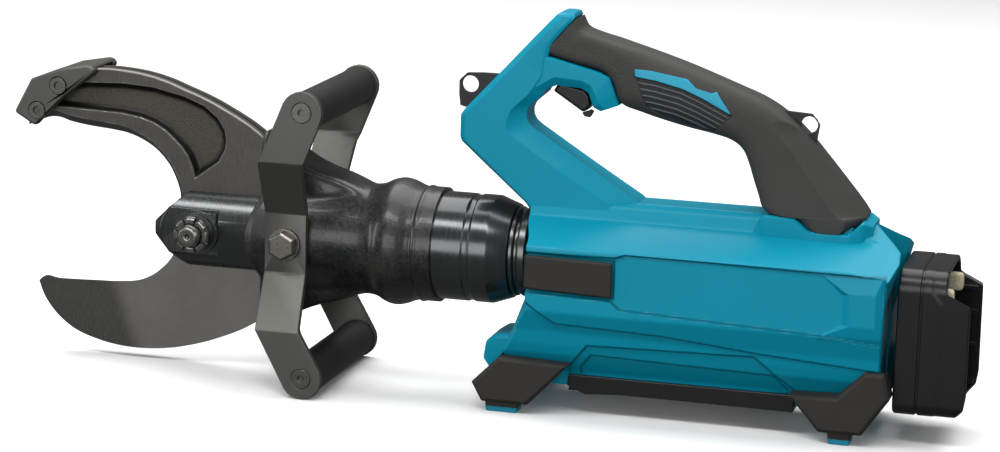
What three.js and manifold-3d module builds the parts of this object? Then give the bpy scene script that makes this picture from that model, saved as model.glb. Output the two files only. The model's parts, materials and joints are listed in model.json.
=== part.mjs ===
// Battery hydraulic rescue cutter: jaw head, pump housing with a bow handle, and battery mount.
// Millimetres, +Z up. The datum group has its origin on the jaw pivot, +X towards the battery end.
import * as THREE from 'three';
import { mergeVertices } from 'three/addons/utils/BufferGeometryUtils.js';
import Module from 'manifold-3d';

const wasm = await Module();
wasm.setup();

// Driving dimensions
const gap = 0.3;
const fit = 0.05; // radial play of a part that stays still in its bore
const runningFit = 0.2; // radial play of a part that turns on a pin
const axisHeight = 109.5;
const centreX = 215.75;
const pivotPinR = 8.5;
const plateT = 16;
const cheekIn = 16.3;
const clevisR = 33;
const clevisFlatY = 28;
const tailR = 62;
const tailDeg = 28;
const linkL = 75;
const linkPinR = 6;
const rearEyePlay = 2.6; // the links' rear eyes slide over the crosshead pin
const barrelR = 40;
const barrelBoreR = 33.3;
const rodR = 14;
const pistonR = barrelBoreR - fit;
const ringBoltR = 6;
const guideScrewR = 4;
const barY = 45;
const barT = 5;
const barW = 32;
const barOutY = 71;
const ringX = 75;
const topBar = [94.3, 103];
const bottomBar = [97, -94];
const gripBarR = 14.2;
const bodyFront = 253;
const bodyRear = 518.6;
const wall = 3.2;
const motorZ = -12;
const sides = [{ name: 'left', s: -1 }, { name: 'right', s: 1 }];

const deg = (a) => a * Math.PI / 180;
const tailPin = [tailR * Math.cos(deg(tailDeg)), tailR * Math.sin(deg(tailDeg))];
const rodPinX = tailPin[0] + Math.sqrt(linkL ** 2 - tailPin[1] ** 2);

// Solids
function solid(geometry) {
  const source = geometry.index ? geometry.toNonIndexed() : geometry;
  source.deleteAttribute('normal');
  source.deleteAttribute('uv');
  const merged = mergeVertices(source, 1e-4);
  const vertProperties = new Float32Array(merged.attributes.position.array);
  const index = [];
  const all = merged.index.array;
  for (let i = 0; i < all.length; i += 3) {
    const [a, b, c] = [all[i], all[i + 1], all[i + 2]];
    if (a !== b && b !== c && a !== c) index.push(a, b, c);
  }
  const build = (triVerts) => new wasm.Manifold(new wasm.Mesh({ numProp: 3, vertProperties, triVerts }));
  const made = build(new Uint32Array(index));
  if (made.volume() > 0) return made;
  for (let i = 0; i < index.length; i += 3) [index[i], index[i + 1]] = [index[i + 1], index[i]];
  return build(new Uint32Array(index));
}

function geometryOf(body) {
  const mesh = body.getMesh();
  const geometry = new THREE.BufferGeometry();
  const points = new Float32Array(mesh.numVert * 3);
  for (let i = 0; i < mesh.numVert; i++) {
    for (let k = 0; k < 3; k++) points[i * 3 + k] = mesh.vertProperties[i * mesh.numProp + k];
  }
  geometry.setAttribute('position', new THREE.BufferAttribute(points, 3));
  geometry.setIndex(new THREE.BufferAttribute(new Uint32Array(mesh.triVerts), 1));
  geometry.computeVertexNormals();
  return geometry;
}

const union = (list) => list.reduce((a, b) => a.add(b));
const cut = (body, list) => list.reduce((a, b) => a.subtract(b), body);

function shapeOf(points) {
  return new THREE.Shape(points.map(([a, b]) => new THREE.Vector2(a, b)));
}

function extruded(points, depth, bevel) {
  const options = { depth: depth - 2 * bevel, bevelEnabled: bevel > 0, curveSegments: 8 };
  if (bevel > 0) {
    Object.assign(options, {
      bevelThickness: bevel, bevelSize: bevel, bevelOffset: -bevel, bevelSegments: 1,
    });
  }
  return new THREE.ExtrudeGeometry(shapeOf(points), options).translate(0, 0, bevel);
}

// An outline in X and Z carried from y0 to y1
function alongY(points, y0, y1, bevel = 0) {
  const g = extruded(points, y1 - y0, bevel);
  return solid(g.rotateX(Math.PI / 2).translate(0, y1, 0));
}

// An outline in Y and Z carried from x0 to x1
function alongX(points, x0, x1, bevel = 0) {
  const g = extruded(points, x1 - x0, bevel);
  const m = new THREE.Matrix4().makeBasis(
    new THREE.Vector3(0, 1, 0), new THREE.Vector3(0, 0, 1), new THREE.Vector3(1, 0, 0));
  return solid(g.applyMatrix4(m).translate(x0, 0, 0));
}

function box(x0, x1, y0, y1, z0, z1) {
  const g = new THREE.BoxGeometry(x1 - x0, y1 - y0, z1 - z0);
  return solid(g.translate((x0 + x1) / 2, (y0 + y1) / 2, (z0 + z1) / 2));
}

// A profile of [radius, station] pairs turned round an axis
function turned(profile, axis, steps = 32, x = 0, y = 0, z = 0) {
  const g = new THREE.LatheGeometry(profile.map(([r, s]) => new THREE.Vector2(r, s)), steps);
  if (axis === 'x') g.rotateZ(-Math.PI / 2);
  if (axis === 'z') g.rotateX(Math.PI / 2);
  return solid(g.translate(x, y, z));
}

const disc = (r, s0, s1) => [[0, s0], [r, s0], [r, s1], [0, s1]];
const ring = (r0, r1, s0, s1) => [[r0, s0], [r1, s0], [r1, s1], [r0, s1], [r0, s0]];
const mirrorZ = (points) => points.map(([x, z]) => [x, -z]).reverse();
const mirrorY = (body) => body.mirror([0, 1, 0]);
const onSide = (body, s) => (s > 0 ? body : mirrorY(body));

function arc(cx, cz, r, a0, a1, n) {
  return Array.from({ length: n + 1 }, (_, i) => {
    const a = deg(a0 + (a1 - a0) * i / n);
    return [cx + r * Math.cos(a), cz + r * Math.sin(a)];
  });
}

// Materials
const finishes = {
  teal: [0x0b7d99, 0.38, 0], gripRubber: [0x2e2d2c, 0.75, 0], padRubber: [0x33302c, 0.7, 0],
  blackPlastic: [0x161616, 0.45, 0], foam: [0xd8cfb4, 0.9, 0], forged: [0x2f2e2c, 0.5, 0.85],
  bladeSteel: [0x5c5a56, 0.38, 0.95], blackOxide: [0x17191a, 0.32, 0.8], boot: [0x111213, 0.5, 0],
  cylinder: [0x0d0d0e, 0.28, 0.3], phosphate: [0x4a4640, 0.5, 0.7], gripBar: [0x1c1b1a, 0.7, 0.1],
  zinc: [0x8d897f, 0.35, 0.9], chrome: [0xc9c9c9, 0.12, 1], stamped: [0x151515, 0.5, 0.6],
  aluminium: [0x9a9c9e, 0.4, 0.9], copper: [0xb87333, 0.4, 0.9], board: [0x1d5a38, 0.6, 0],
};
const materials = Object.fromEntries(Object.entries(finishes).map(([name, [color, roughness, metalness]]) =>
  [name, new THREE.MeshStandardMaterial({ name, color, roughness, metalness })]));

const datum = new THREE.Group();
datum.position.set(-centreX, 0, axisHeight);

function place(name, body, finish) {
  const mesh = new THREE.Mesh(geometryOf(body), materials[finish]);
  mesh.name = name;
  datum.add(mesh);
}

// Head: clevis, pivot pin and its nut
function makeClevis() {
  const round = turned([[0, -35], [24, -35], [clevisR, -22], [clevisR, 160], [30, 168], [0, 168]], 'x', 40);
  const side = [[-35, -5], [-4.5, -clevisR - 1], [170, -clevisR - 1], [170, clevisR + 1], [-4.5, clevisR + 1], [-35, 5]];
  const nose = round.intersect(alongY(side, -40, 40));
  const slot = box(-40, 150, -cheekIn, cheekIn, -40, 40);
  const flats = sides.map(({ s }) => onSide(box(-40, 17.4, clevisFlatY, 40, -20, 20), s));
  const bosses = sides.map(({ s }) => onSide(turned(disc(13, 29, barY - barT - gap), 'y', 20, ringX), s));
  const bores = [turned(disc(pivotPinR + fit, -40, 40), 'y', 20)];
  for (const { s } of sides) bores.push(onSide(turned(disc(ringBoltR + fit, 18, 42), 'y', 20, ringX), s));
  const guide = turned(disc(rodR + fit, 140, 170), 'x', 40);
  return cut(cut(nose, flats).add(union(bosses)), [slot, guide, ...bores]);
}

function makePivotPin() {
  return turned([[0, -50], [7.5, -50], [pivotPinR, -49], [pivotPinR, 28.3], [15, 28.3], [15, 35], [13, 37],
    [0, 37]], 'y', 20);
}

function makePivotNut() {
  const nut = turned(ring(pivotPinR + fit, 14, -43.5, -31.4), 'y', 20);
  const slots = [0, 60, 120].map((a) => box(-20, 20, -46, -40.5, -1.8, 1.8).rotate([0, a, 0]));
  return cut(nut, slots);
}

function makeLockWasher() {
  const round = turned(disc(17, -31.1, clevisFlatY * -1 - gap), 'y', 28);
  const tab = box(6, 15.6, -31.1, -28.3, 5, 15);
  return cut(round.add(tab), [turned(disc(pivotPinR + fit, -33, -27), 'y', 20)]);
}

// Jaws: bell cranks on one pin, tail pins behind it
const upperOuter = [[-141, 79], [-131.5, 100], [-120, 106], [-104, 111.5], [-87.7, 115.5], [-75, 116.2],
  [-61.6, 115.5], [-50, 114.3], [-38.8, 112.2], [-27, 108.9], [-16.1, 104.8], [-4, 100.6], [8.2, 95.6],
  [24.3, 87.6], [36, 81.2], [46, 74.2], [54, 65.5], [60.5, 54], [64.5, 42]];
const upperInner = [[-24, 14], [-22.5, 22], [-26, 33], [-31, 43], [-38.2, 51.5], [-44.5, 56.8],
  [-51.4, 60.7], [-59.5, 64.2], [-67.8, 66.4], [-80, 67.8], [-92.5, 68.8], [-103, 70], [-112.4, 71.6],
  [-118, 73.6], [-123.1, 74.4], [-129, 73.6], [-134, 72.2], [-139.8, 69]];
const lowerTop = [[-138.9, -55], [-136, -52], [-131.6, -50.6], [-124.1, -52.4], [-108, -52], [-93.8, -51.4],
  [-78, -50.9], [-63.8, -49.6], [-57, -48.2], [-50.6, -45.6], [-44.5, -42], [-39, -37.5], [-33.5, -32],
  [-29.2, -25.6]];
const lowerOuter = [[64.5, -42], [60.5, -54], [54, -62], [46, -67.8], [40.1, -71], [26, -79.5],
  [12.5, -85.6], [0, -90.6], [-12.1, -94.4], [-26, -98], [-40.2, -100.2], [-55, -101.3], [-70.2, -100.9],
  [-85, -98.8], [-98.8, -95.2], [-108, -91.7], [-115.6, -87.2], [-124, -80.4], [-130.8, -72.4],
  [-135.5, -65]];
const hubFront = arc(0, 0, 29, 210, 150, 6);

function tailEnd(sign) {
  const round = arc(tailPin[0], tailPin[1], 11, 20, -100, 8);
  const web = [[28, -4], [14, -22], [-4, -27], [-19, -21]];
  const points = [...round, ...web];
  return sign > 0 ? points : mirrorZ(points);
}

// Half the tail's thickness is cleared where its link lies and swings
function makeLinkReach(y0, y1) {
  const [x, z] = tailPin;
  const swing = alongY([[x - 10.7, z - 3.6], [x + 9, z - 60], [x + 65, z - 60], [x + 65, z - 14],
    [x + 4.3, z + 10.3]], y0, y1);
  return swing.add(turned(disc(11, y0, y1), 'y', 20, x, 0, z));
}

function makeUpperJaw() {
  const outline = [...upperOuter, ...tailEnd(1), ...hubFront, ...upperInner];
  const plate = alongY(outline, -plateT, -gap / 2);
  const recess = [[-104, 84], [-90, 83.6], [-64.7, 82.8], [-50, 80.6], [-40.2, 77.6], [-31, 72.6], [-23.9, 66.6],
    [-17, 60], [-12.4, 53.8], [-8.6, 45], [-6.6, 37.4], [11.9, 51.3], [17, 61], [18.1, 68], [16.6, 76],
    [11, 84.6], [0.1, 93.2], [-16, 99.2], [-40.4, 104.4], [-64.8, 105.8], [-94.2, 104.5], [-102, 97]];
  const reach = makeLinkReach(-plateT / 2 - gap / 2, 1);
  const edge = makeGrind(upperInner.slice(3), -plateT, -2.2, 7.5);
  const holes = [turned(disc(pivotPinR + runningFit, -20, 2), 'y', 20),
    turned(disc(linkPinR + fit, -20, 2), 'y', 20, tailPin[0], 0, tailPin[1])];
  for (const [x, z] of guideScrews) holes.push(turned(disc(guideScrewR + fit, -20, 2), 'y', 20, x, 0, z));
  return cut(plate, [alongY(recess, -plateT - 1, -plateT + 5), reach, edge, ...holes]);
}

// The bevel ground along a cutting edge: a wedge from the full thickness down to the edge
function makeGrind(edge, yFace, yEdge, width) {
  const wedges = [];
  for (let i = 0; i + 1 < edge.length; i++) {
    const [a, b] = [edge[i], edge[i + 1]];
    const dir = new THREE.Vector2(b[0] - a[0], b[1] - a[1]);
    const length = dir.length();
    dir.normalize();
    const inward = new THREE.Vector2(dir.y, -dir.x);
    const section = [[-1.5, yFace * 1.2], [width, yFace * 1.2], [width, yFace], [0, yEdge], [-1.5, yEdge]];
    const g = new THREE.ExtrudeGeometry(shapeOf(section), { depth: length + 2, bevelEnabled: false });
    const m = new THREE.Matrix4().makeBasis(
      new THREE.Vector3(inward.x, 0, inward.y), new THREE.Vector3(0, 1, 0),
      new THREE.Vector3(dir.x, 0, dir.y));
    wedges.push(solid(g.translate(0, 0, -1).applyMatrix4(m).translate(a[0], 0, a[1])));
  }
  return union(wedges);
}

function makeLowerBlade() {
  const outline = [...lowerTop, ...hubFront, ...tailEnd(-1), ...lowerOuter];
  const plate = alongY(outline, gap / 2, plateT);
  const reach = makeLinkReach(-1, plateT / 2 + gap / 2).mirror([0, 0, 1]);
  const edge = makeGrind(lowerTop.slice(2, 13).reverse(), plateT, 2.2, 16);
  const holes = [turned(disc(pivotPinR + runningFit, -2, 20), 'y', 20),
    turned(disc(linkPinR + fit, -2, 20), 'y', 20, tailPin[0], 0, -tailPin[1])];
  return cut(plate, [reach, edge, ...holes]);
}

// Fork at the upper jaw's tip that keeps the blades side by side
const guideScrews = [[-113.4, 101.5], [-130.4, 81.6]];
const guideOutline = [[-135.3, 105.4], [-148.3, 80.6], [-147.6, 78.4], [-133.5, 70.4], [-131.2, 70.4],
  [-125.4, 76.8], [-107.3, 94.6], [-84.6, 112.9], [-84.4, 115.4], [-86.6, 117.8], [-90, 118.6], [-112, 114.4]];

function makeTipGuide() {
  const block = alongY(guideOutline, -24, 24, 1.2);
  const jawSlot = alongY([[-141.4, 60], [-141.4, 79.2], [-131.8, 100.3], [-120.2, 106.4], [-104.1, 111.9],
    [-87.8, 115.9], [-60, 118], [-60, 60]], -cheekIn, cheekIn);
  const holes = [];
  for (const [x, z] of guideScrews) {
    holes.push(turned(disc(guideScrewR + fit, -30, -10), 'y', 20, x, 0, z));
    holes.push(turned(disc(6.7, -30, -20), 'y', 20, x, 0, z));
  }
  return cut(block, [jawSlot, ...holes]);
}

function makeGuideScrew(x, z) {
  const screw = union([turned(disc(6.4, -24.4, -20.3), 'y', 20, x, 0, z),
    turned(disc(guideScrewR, -20.8, -2), 'y', 20, x, 0, z)]);
  return cut(screw, [turned(disc(3.4, -26, -21.8), 'y', 6, x, 0, z)]);
}

// Toggle links from the crosshead to the jaw tails
function makeLink(sign) {
  const pin = [tailPin[0], tailPin[1]];
  const a = Math.atan2(-pin[1], rodPinX - pin[0]) * 180 / Math.PI;
  const outline = [...arc(pin[0], pin[1], 10, a + 90, a + 270, 10),
    ...arc(rodPinX, 0, 12.5, a - 75, a + 75, 10)];
  const layer = sign > 0 ? [-plateT / 2 + gap / 2, -gap] : [gap, plateT / 2 - gap / 2];
  const plate = alongY(outline, layer[0], layer[1]);
  const eyes = [turned(disc(linkPinR + runningFit, -20, 20), 'y', 20, pin[0], 0, pin[1]),
    turned(disc(linkPinR + rearEyePlay, -20, 20), 'y', 20, rodPinX, 0, 0)];
  const link = cut(plate, eyes);
  return sign > 0 ? link : link.mirror([0, 0, 1]);
}

function makeLinkPin(sign) {
  const y = sign > 0 ? [-plateT + gap, -gap] : [gap, plateT - gap];
  return turned(disc(linkPinR, y[0], y[1]), 'y', 20, tailPin[0], 0, sign * tailPin[1]);
}

// Piston rod with crosshead and piston, return spring
function makePistonRod() {
  const fork = [[rodPinX + 24, -13], [rodPinX + 24, 13], [rodPinX, 11], [rodPinX - 9, 6], [rodPinX - 9, -6],
    [rodPinX, -11]];
  const head = cut(alongY(fork, -15.7, 15.7), [box(rodPinX - 20, rodPinX + 15, -8.3, 8.3, -40, 40)]);
  const rod = turned([[0, rodPinX + 20], [rodR, rodPinX + 20], [rodR, 215], [pistonR, 215],
    [pistonR, 219], [29.5, 219], [29.5, 224], [pistonR, 224], [pistonR, 229], [0, 229]], 'x', 40);
  return cut(head.add(rod), [turned(disc(linkPinR + fit, -20, 20), 'y', 20, rodPinX)]);
}

function makeSpring() {
  class Helix extends THREE.Curve {
    getPoint(t, target = new THREE.Vector3()) {
      const a = t * 5 * 2 * Math.PI;
      return target.set(170.4 + t * 42.4, 24 * Math.cos(a), 24 * Math.sin(a));
    }
  }
  const section = shapeOf(arc(0, 0, 1.8, 0, 300, 5));
  return solid(new THREE.ExtrudeGeometry(section, { steps: 60, extrudePath: new Helix() }));
}

// Hydraulic cylinder and the neck that turns in the housing
function makeBarrel() {
  return turned([[barrelBoreR, 168.3], [38.5, 168.3], [barrelR, 170], [barrelR, 207], [39.2, 208], [39.2, 211],
    [barrelR, 212], [barrelR, 225], [34.5, 240], [30, 240], [30, 232], [barrelBoreR, 232],
    [barrelBoreR, 168.3]], 'x', 40);
}

function makeSwivelNeck() {
  return turned([[0, 232.3], [29.7, 232.3], [29.7, 240.3], [33, 240.3], [33, 243.5], [30.5, 244.3],
    [30.5, 246.5], [33, 247.3], [33, bodyFront - gap], [26, bodyFront - gap], [26, 285], [0, 285]], 'x', 40);
}

// Carrying ring: two bent side bars and two grip tubes
function makeSideBar() {
  const outer = [[barY, -22], [barY, 23], [barOutY, 65], [barOutY, 125]];
  const inner = [[barY - barT, 25], [barY - barT, -24], [barOutY - barT, -61.5], [barOutY - barT, -125]];
  const section = [[barOutY, -125], [barOutY, -60], ...outer, [barOutY - barT, 125], [barOutY - barT, 66.5],
    ...inner];
  const bar = alongX(section, 40, 130);
  const lean = (c) => Math.atan2(Math.abs(c[1]) - 62, c[0] - ringX) * 180 / Math.PI;
  const outline = [[ringX - barW / 2, -22], [ringX - barW / 2, 23], [ringX - barW / 2 + 2, 62],
    ...arc(topBar[0], topBar[1], 15.5, lean(topBar) + 90, lean(topBar) - 90, 12),
    [ringX + barW / 2 + 3, 60], [ringX + barW / 2, 23], [ringX + barW / 2, -22],
    [ringX + barW / 2 + 3, -58],
    ...arc(bottomBar[0], bottomBar[1], 15.5, 90 - lean(bottomBar), -90 - lean(bottomBar), 12),
    [ringX - barW / 2 + 2, -60]];
  const shaped = bar.intersect(alongY(outline, 30, 80));
  const holes = [turned(disc(ringBoltR + fit, 30, 80), 'y', 20, ringX)];
  for (const [x, z] of [topBar, bottomBar]) {
    holes.push(turned([[0, 60], [4.1, 60], [4.1, 67], [7.5, 70.4], [7.5, 80], [0, 80]], 'y', 20, x, 0, z));
  }
  return cut(shaped, holes);
}

function makeGripBar([x, z]) {
  const half = barOutY - barT - gap;
  const bar = turned([[0, -half], [gripBarR - 1, -half], [gripBarR, 1 - half], [gripBarR, half - 1],
    [gripBarR - 1, half], [0, half]], 'y', 40, x, 0, z);
  return cut(bar, sides.map(({ s }) => onSide(turned(disc(4.05, half - 18, half + 5), 'y', 20, x, 0, z), s)));
}

function makeGripScrew([x, z]) {
  const screw = turned([[0, 50], [4, 50], [4, 67.4], [7.2, 70.6], [7.2, barOutY], [0, barOutY]], 'y', 20, x, 0, z);
  return cut(screw, [turned(disc(2.8, 68.6, 75), 'y', 6, x, 0, z)]);
}

function makeRingBolt() {
  const shank = turned(disc(ringBoltR, 20, barY + 5), 'y', 20, ringX);
  const head = turned([[0, barY + 3.6], [10.9, barY + 3.6], [10.9, barY + 9.8], [9.2, barY + 11], [0, barY + 11]],
    'y', 6, ringX);
  return shank.add(head);
}

const makeRingWasher = () => turned(ring(ringBoltR + fit, 12, barY + gap, barY + 3.3), 'y', 20, ringX);

// Rubber boot over the linkage: a turned sleeve with a fin over each jaw tail
const bootStations = [[42, 36.5], [52, 38.2], [75, 39.2], [96, 40], [112, 41], [130, 41.4], [138, 43],
  [145, 46.5], [152, 47.5], [159, 46], [166, 43], [171, 42.2], [184, 42.2]];
const finOutline = [[47, 0], [49, 79], [56, 73.5], [66, 65], [75, 58.6], [84, 54], [95, 50], [112, 45],
  [126, 36], [130, 0]];

function makeBoot() {
  const outerProfile = [[0, 42], ...bootStations.map(([x, r]) => [r, x]), [0, 184]];
  const innerProfile = [[0, 30], [34.2, 30], [34.2, 70], [36, 100], [37.4, 130], [41, 146], [42.5, 152],
    [barrelR + gap, 160], [barrelR + gap, 190], [0, 190]];
  const fins = [finOutline, mirrorZ(finOutline)].map((p) => alongY(p, -27, 27, 2.4));
  const finHollow = [[40, 0], [40, 76], [49, 75.5], [54, 70], [64, 61.6], [74, 54.6], [84, 49.6], [95, 45.6],
    [112, 40], [122, 0]];
  const hollows = [finHollow, mirrorZ(finHollow)].map((p) => alongY(p, -20, 20));
  const holes = sides.map(({ s }) => onSide(turned(disc(13.3, 20, 60), 'y', 20, ringX), s));
  const seats = sides.map(({ s }) => onSide(box(54, 97, barY - barT - gap, 60, -66, 66), s));
  return cut(union([turned(outerProfile, 'x', 40), ...fins]),
    [turned(innerProfile, 'x', 40), ...hollows, ...holes, ...seats]);
}

// Housing: faceted body, front post with the trigger guard, side panels
const sectionHalf = [[12, 44], [30, 31], [58, 15], [60, 10], [60, -27], [52, -45], [50, -56], [48, -64],
  [36, -79], [36, -88.5]];
const fullSection = (half) => [...half.map(([y, z]) => [y, z]), ...half.slice().reverse().map(([y, z]) => [-y, z])];
const bodySide = [[bodyFront, 44], [bodyFront, -48], [243, -65], [243, -88.5], [515, -88.5], [517, -64],
  [bodyRear, -15], [520.4, 10.5], [525.8, 21.6], [524.6, 27.5], [504, 41.5], [493.4, 44]];
const postOutline = [[bodyFront, 33.6], [248.9, 39.3], [199.2, 81.6], [198, 84], [198, 101.2], [200.8, 105],
  [267.6, 179], [269.3, 179.8], [279.6, 179.8], [281.4, 178.6], [281.8, 176.1], [259.8, 151.4], [262.4, 147.8],
  [304.3, 137.8], [308, 135.4], [309.6, 132], [315, 115.4], [310.9, 114.4], [300.9, 110.1], [296.4, 112],
  [294.8, 113.5], [293.4, 121.6], [289.4, 125.2], [271.4, 129], [266.1, 125.7], [248.4, 110.4], [246.2, 106.4],
  [246.8, 99.6], [250.2, 95.4], [331, 46.6], [334, 43], [334, 30]];

function makeHousing() {
  const body = alongX(fullSection(sectionHalf), 240, 530).intersect(alongY(bodySide, -65, 65));
  const noseBlock = alongY([[221, -78], [222, -66], [231, -59.5], [260, -48], [260, -88.5], [238, -88.5]], -22, 22);
  const post = alongY(postOutline, -18, 18, 2.4);
  let whole = union([body, noseBlock, post]);
  for (const { s } of sides) {
    const panel = alongY([[326, 13.5], [333, 15.6], [521, 14], [521, -33], [332, -25.8], [326, -19]], 58.4, 70);
    const padSeat = alongY([[259.6, 11.6], [325.6, 10.6], [325.6, -16.6], [259.6, -14.6]], 57.7, 70);
    const groove = alongY([[250, -23.4], [281.6, -36.6], [405, -44.4], [530, -52], [530, -54.4], [405, -46.8],
      [281, -39], [250, -26.4]], 51, 70);
    for (const tool of [panel, padSeat, groove]) whole = whole.subtract(onSide(tool, s));
  }
  return whole;
}

function makeHousingHalf(whole, s) {
  const inset = sectionHalf.map(([y, z]) => [Math.max(y - wall, 8), z > 0 ? z - wall * 1.15 : z]);
  inset[4] = [56.4, -25];
  inset[5] = [47.4, -44];
  inset[6] = [45.6, -55];
  inset[7] = [43.6, -62.6];
  inset[8] = [32.4, -77];
  inset[9] = [32.4, -85];
  const room = alongX(fullSection(inset), bodyFront + wall, 514);
  const handleRoom = alongY([[262, 36], [310, 50], [253, 85.5], [246, 90], [243.4, 97.5], [242.6, 107.5],
    [245.5, 113], [262, 128.5], [258, 143], [255, 150], [268, 166], [268, 172], [206, 103.5], [201.4, 99],
    [201.4, 84.8], [252, 42]], -14.4, 14.4);
  const bearing = turned(disc(26.4, bodyFront - 5, bodyFront + 8), 'x', 40);
  const half = box(150, 560, gap / 2, 80, -120, 220);
  const triggerPocket = alongY([[258, 116], [262, 124], [268, 134], [294, 130.5], [298, 118], [300, 104],
    [284, 100]], -9, 9);
  const eyelet = box(190, 228, -1.8, 1.8, 102, 132);
  const gripFoot = alongY([[446, 60], [446, 47], [457, 36], [488, 36.6], [500, 42], [500, 60]], -20.3, 20.3);
  const rearDoor = box(510, 530, -36, 36, -78, 4);
  const tools = [room, handleRoom, bearing, triggerPocket, eyelet, gripFoot, rearDoor];
  return cut(whole.intersect(onSide(half, s)), tools);
}

const gripOutline = [[282.4, 175.6], [285.5, 169], [290, 166], [321.2, 159.4], [341, 154.4], [360.8, 148.3],
  [381, 141.6], [400, 134], [418.7, 125.6], [430, 119.6], [440.1, 112.7], [452, 101.4], [463.8, 88],
  [480, 69.4], [495, 52.4], [497, 47.4], [494.4, 42], [487, 37], [458, 36.4], [448, 45.6], [424.8, 45.6],
  [419, 62], [411, 82], [405.3, 89.8], [393.9, 96.1], [366.4, 101.9], [346, 106.2], [330, 110.4],
  [315.4, 115.3], [310, 132.2], [308.4, 135.8], [304.5, 138.2], [262.6, 148.3], [260.4, 151.4]];

function makeGripHalf(s) {
  const solidGrip = alongY(gripOutline, -20, 20, 2);
  const half = box(200, 560, gap / 2, 60, 0, 220);
  const room = alongY([[276, 152], [300, 148], [330, 144], [380, 128], [420, 108], [438, 86], [448, 60], [470, 48],
    [452, 52], [438, 52], [424, 84], [412, 98], [392, 106], [340, 118], [320, 128], [316, 142]], -13, 13);
  const eyelet = box(431.5, 460, -1.8, 1.8, 90, 120);
  return cut(solidGrip.intersect(onSide(half, s)), [room, eyelet]);
}

const padCorners = [[260.2, 10.9], [324.9, 9.9], [324.9, -15.9], [260.2, -13.9]];
const makeSidePad = () => alongY(padCorners, 58, 61.4, 1.2);

// Rubber feet, each with its wear pad
const frontFoot = [[221.8, -88], [242, -67.4], [293.8, -69.4], [263.9, -101.8], [229.5, -101.8]];
const rearFoot = [[454, -75.5], [488.1, -74.3], [507.6, -54.4], [521.3, -54.4], [525.9, -72.8], [507, -100.6],
  [476.5, -100.6]];

function makeFoot(outline, x0, x1) {
  const pad = [[x0, -95], [x1, -95], [x1 - 1.5, -axisHeight], [x0 + 1.5, -axisHeight]];
  return alongY(outline, 22.4, 56, 2.4).add(alongY(pad, 31, 51));
}

function makeBasePlate() {
  const strip = alongY([[291, -79.3], [456, -79.3], [456, -92], [402, -92], [328.7, -91.6], [303, -93.2], [290, -87.6]],
    36.3, 40);
  const floor = alongY([[291, -88.8], [456, -88.8], [456, -92], [290, -92]], -36.6, 36.6);
  return union([floor, strip, mirrorY(strip)]);
}

// Stamped strap eyelets
function makeEyeletFront() {
  const plate = alongY([[192.4, 124], [198.2, 129.8], [211, 130.6], [226, 130.6], [222, 118], [208, 104.6],
    [198.8, 104], [193.5, 105.4], [192.4, 114]], -1.4, 1.4);
  return cut(plate, [turned(disc(6.2, -5, 5), 'y', 20, 200.9, 0, 121.6)]);
}

function makeEyeletRear() {
  const plate = alongY([[432, 118.6], [453.1, 117.4], [459, 110], [456.6, 93], [452.7, 91.1], [440, 100]], -1.4, 1.4);
  return cut(plate, [turned(disc(6, -5, 5), 'y', 20, 451.5, 0, 109.6)]);
}

// Battery mount: adapter ring, slide bracket, terminals and cushions
function makeAdapter() {
  const section = [[27, 18.5], [38, 14], [42.6, 4], [42.6, -77], [38, -84], [33, -86.5]];
  const block = alongX(fullSection(section), 526.3, 545, 1.5);
  const neck = box(512, 530, -35.6, 35.6, -77.6, 3.6);
  return cut(block.add(neck), [box(500, 540, -31, 31, -73, -1)]);
}

function makeBracket() {
  const section = [[27, 18], [37.6, 13.5], [42.2, 4], [42.2, -77], [37.6, -84], [33, -86]];
  const side = [[545.3, 30], [545.3, -90], [570, -90], [579.7, -80], [579.7, -3.5], [561, 5], [561, 30]];
  const block = alongX(fullSection(section), 545.3, 580).intersect(alongY(side, -60, 60));
  const cavity = alongX([[-27, 12], [27, 12], [38.6, 2], [38.6, -76], [34, -82], [-34, -82], [-38.6, -76], [-38.6, 2]],
    551, 600);
  const rails = sides.map(({ s }) => onSide(box(552, 577, 31, 40, -30, -26), s));
  return cut(block, [cavity]).add(union(rails));
}

function makeTerminalBlock() {
  const base = box(551.3, 556, -22, 22, -60, -10);
  const blades = [-14, 0, 14].map((y) => box(555, 570, y - 1, y + 1, -52, -22));
  return union([base, ...blades]);
}

const makeCushion = (y) => alongX([[y - 4.5, -8], [y + 4.5, -8], [y + 4.5, 5], [y - 4.5, 5]], 551.3, 564, 1);

// Trigger, its lock-off lever and switch
function makeTrigger() {
  return alongY([[264.6, 121.8], [267.4, 126.2], [271.6, 127.8], [288, 124.4], [292, 120.6], [293, 113],
    [290.4, 109.4], [286.7, 107.8]], -8, 8, 1.5);
}

const makeLockLever = () => alongY([[285.4, 106.6], [287.4, 104], [291.4, 103.4], [293.6, 107.4], [291.6, 109],
  [289.4, 107.8]], -3, 3);

const makeSwitchBody = () => box(332, 352, -6.5, 6.5, 124, 135);

// Drive inside the body
function makeMotorCan() {
  const can = turned(ring(24, 27, 342, 418), 'x', 24);
  return can.add(turned(ring(4.4, 25, 415, 418), 'x', 24)).translate([0, 0, motorZ]);
}

function makeRotor() {
  const core = [[0, 336.3], [4, 336.3], [4, 346], [22, 346], [22, 404], [4, 404], [4, 422], [18, 422], [18, 427],
    [0, 427]];
  return turned(core, 'x', 24).translate([0, 0, motorZ]);
}

const makeGearCase = () => turned([[12, 305], [28, 305], [28, 341.5], [24.5, 341.5], [24.5, 320], [12, 320],
  [12, 305]], 'x', 24).translate([0, 0, motorZ]);

function makeEccentric() {
  const carrier = turned(disc(20, 322, 334), 'x', 24);
  const shaft = turned(disc(8, 296, 323), 'x', 24);
  const cam = turned(disc(11, 290, 297), 'x', 24, 0, 3, 0);
  return union([carrier, shaft, cam]).translate([0, 0, motorZ]);
}

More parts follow.
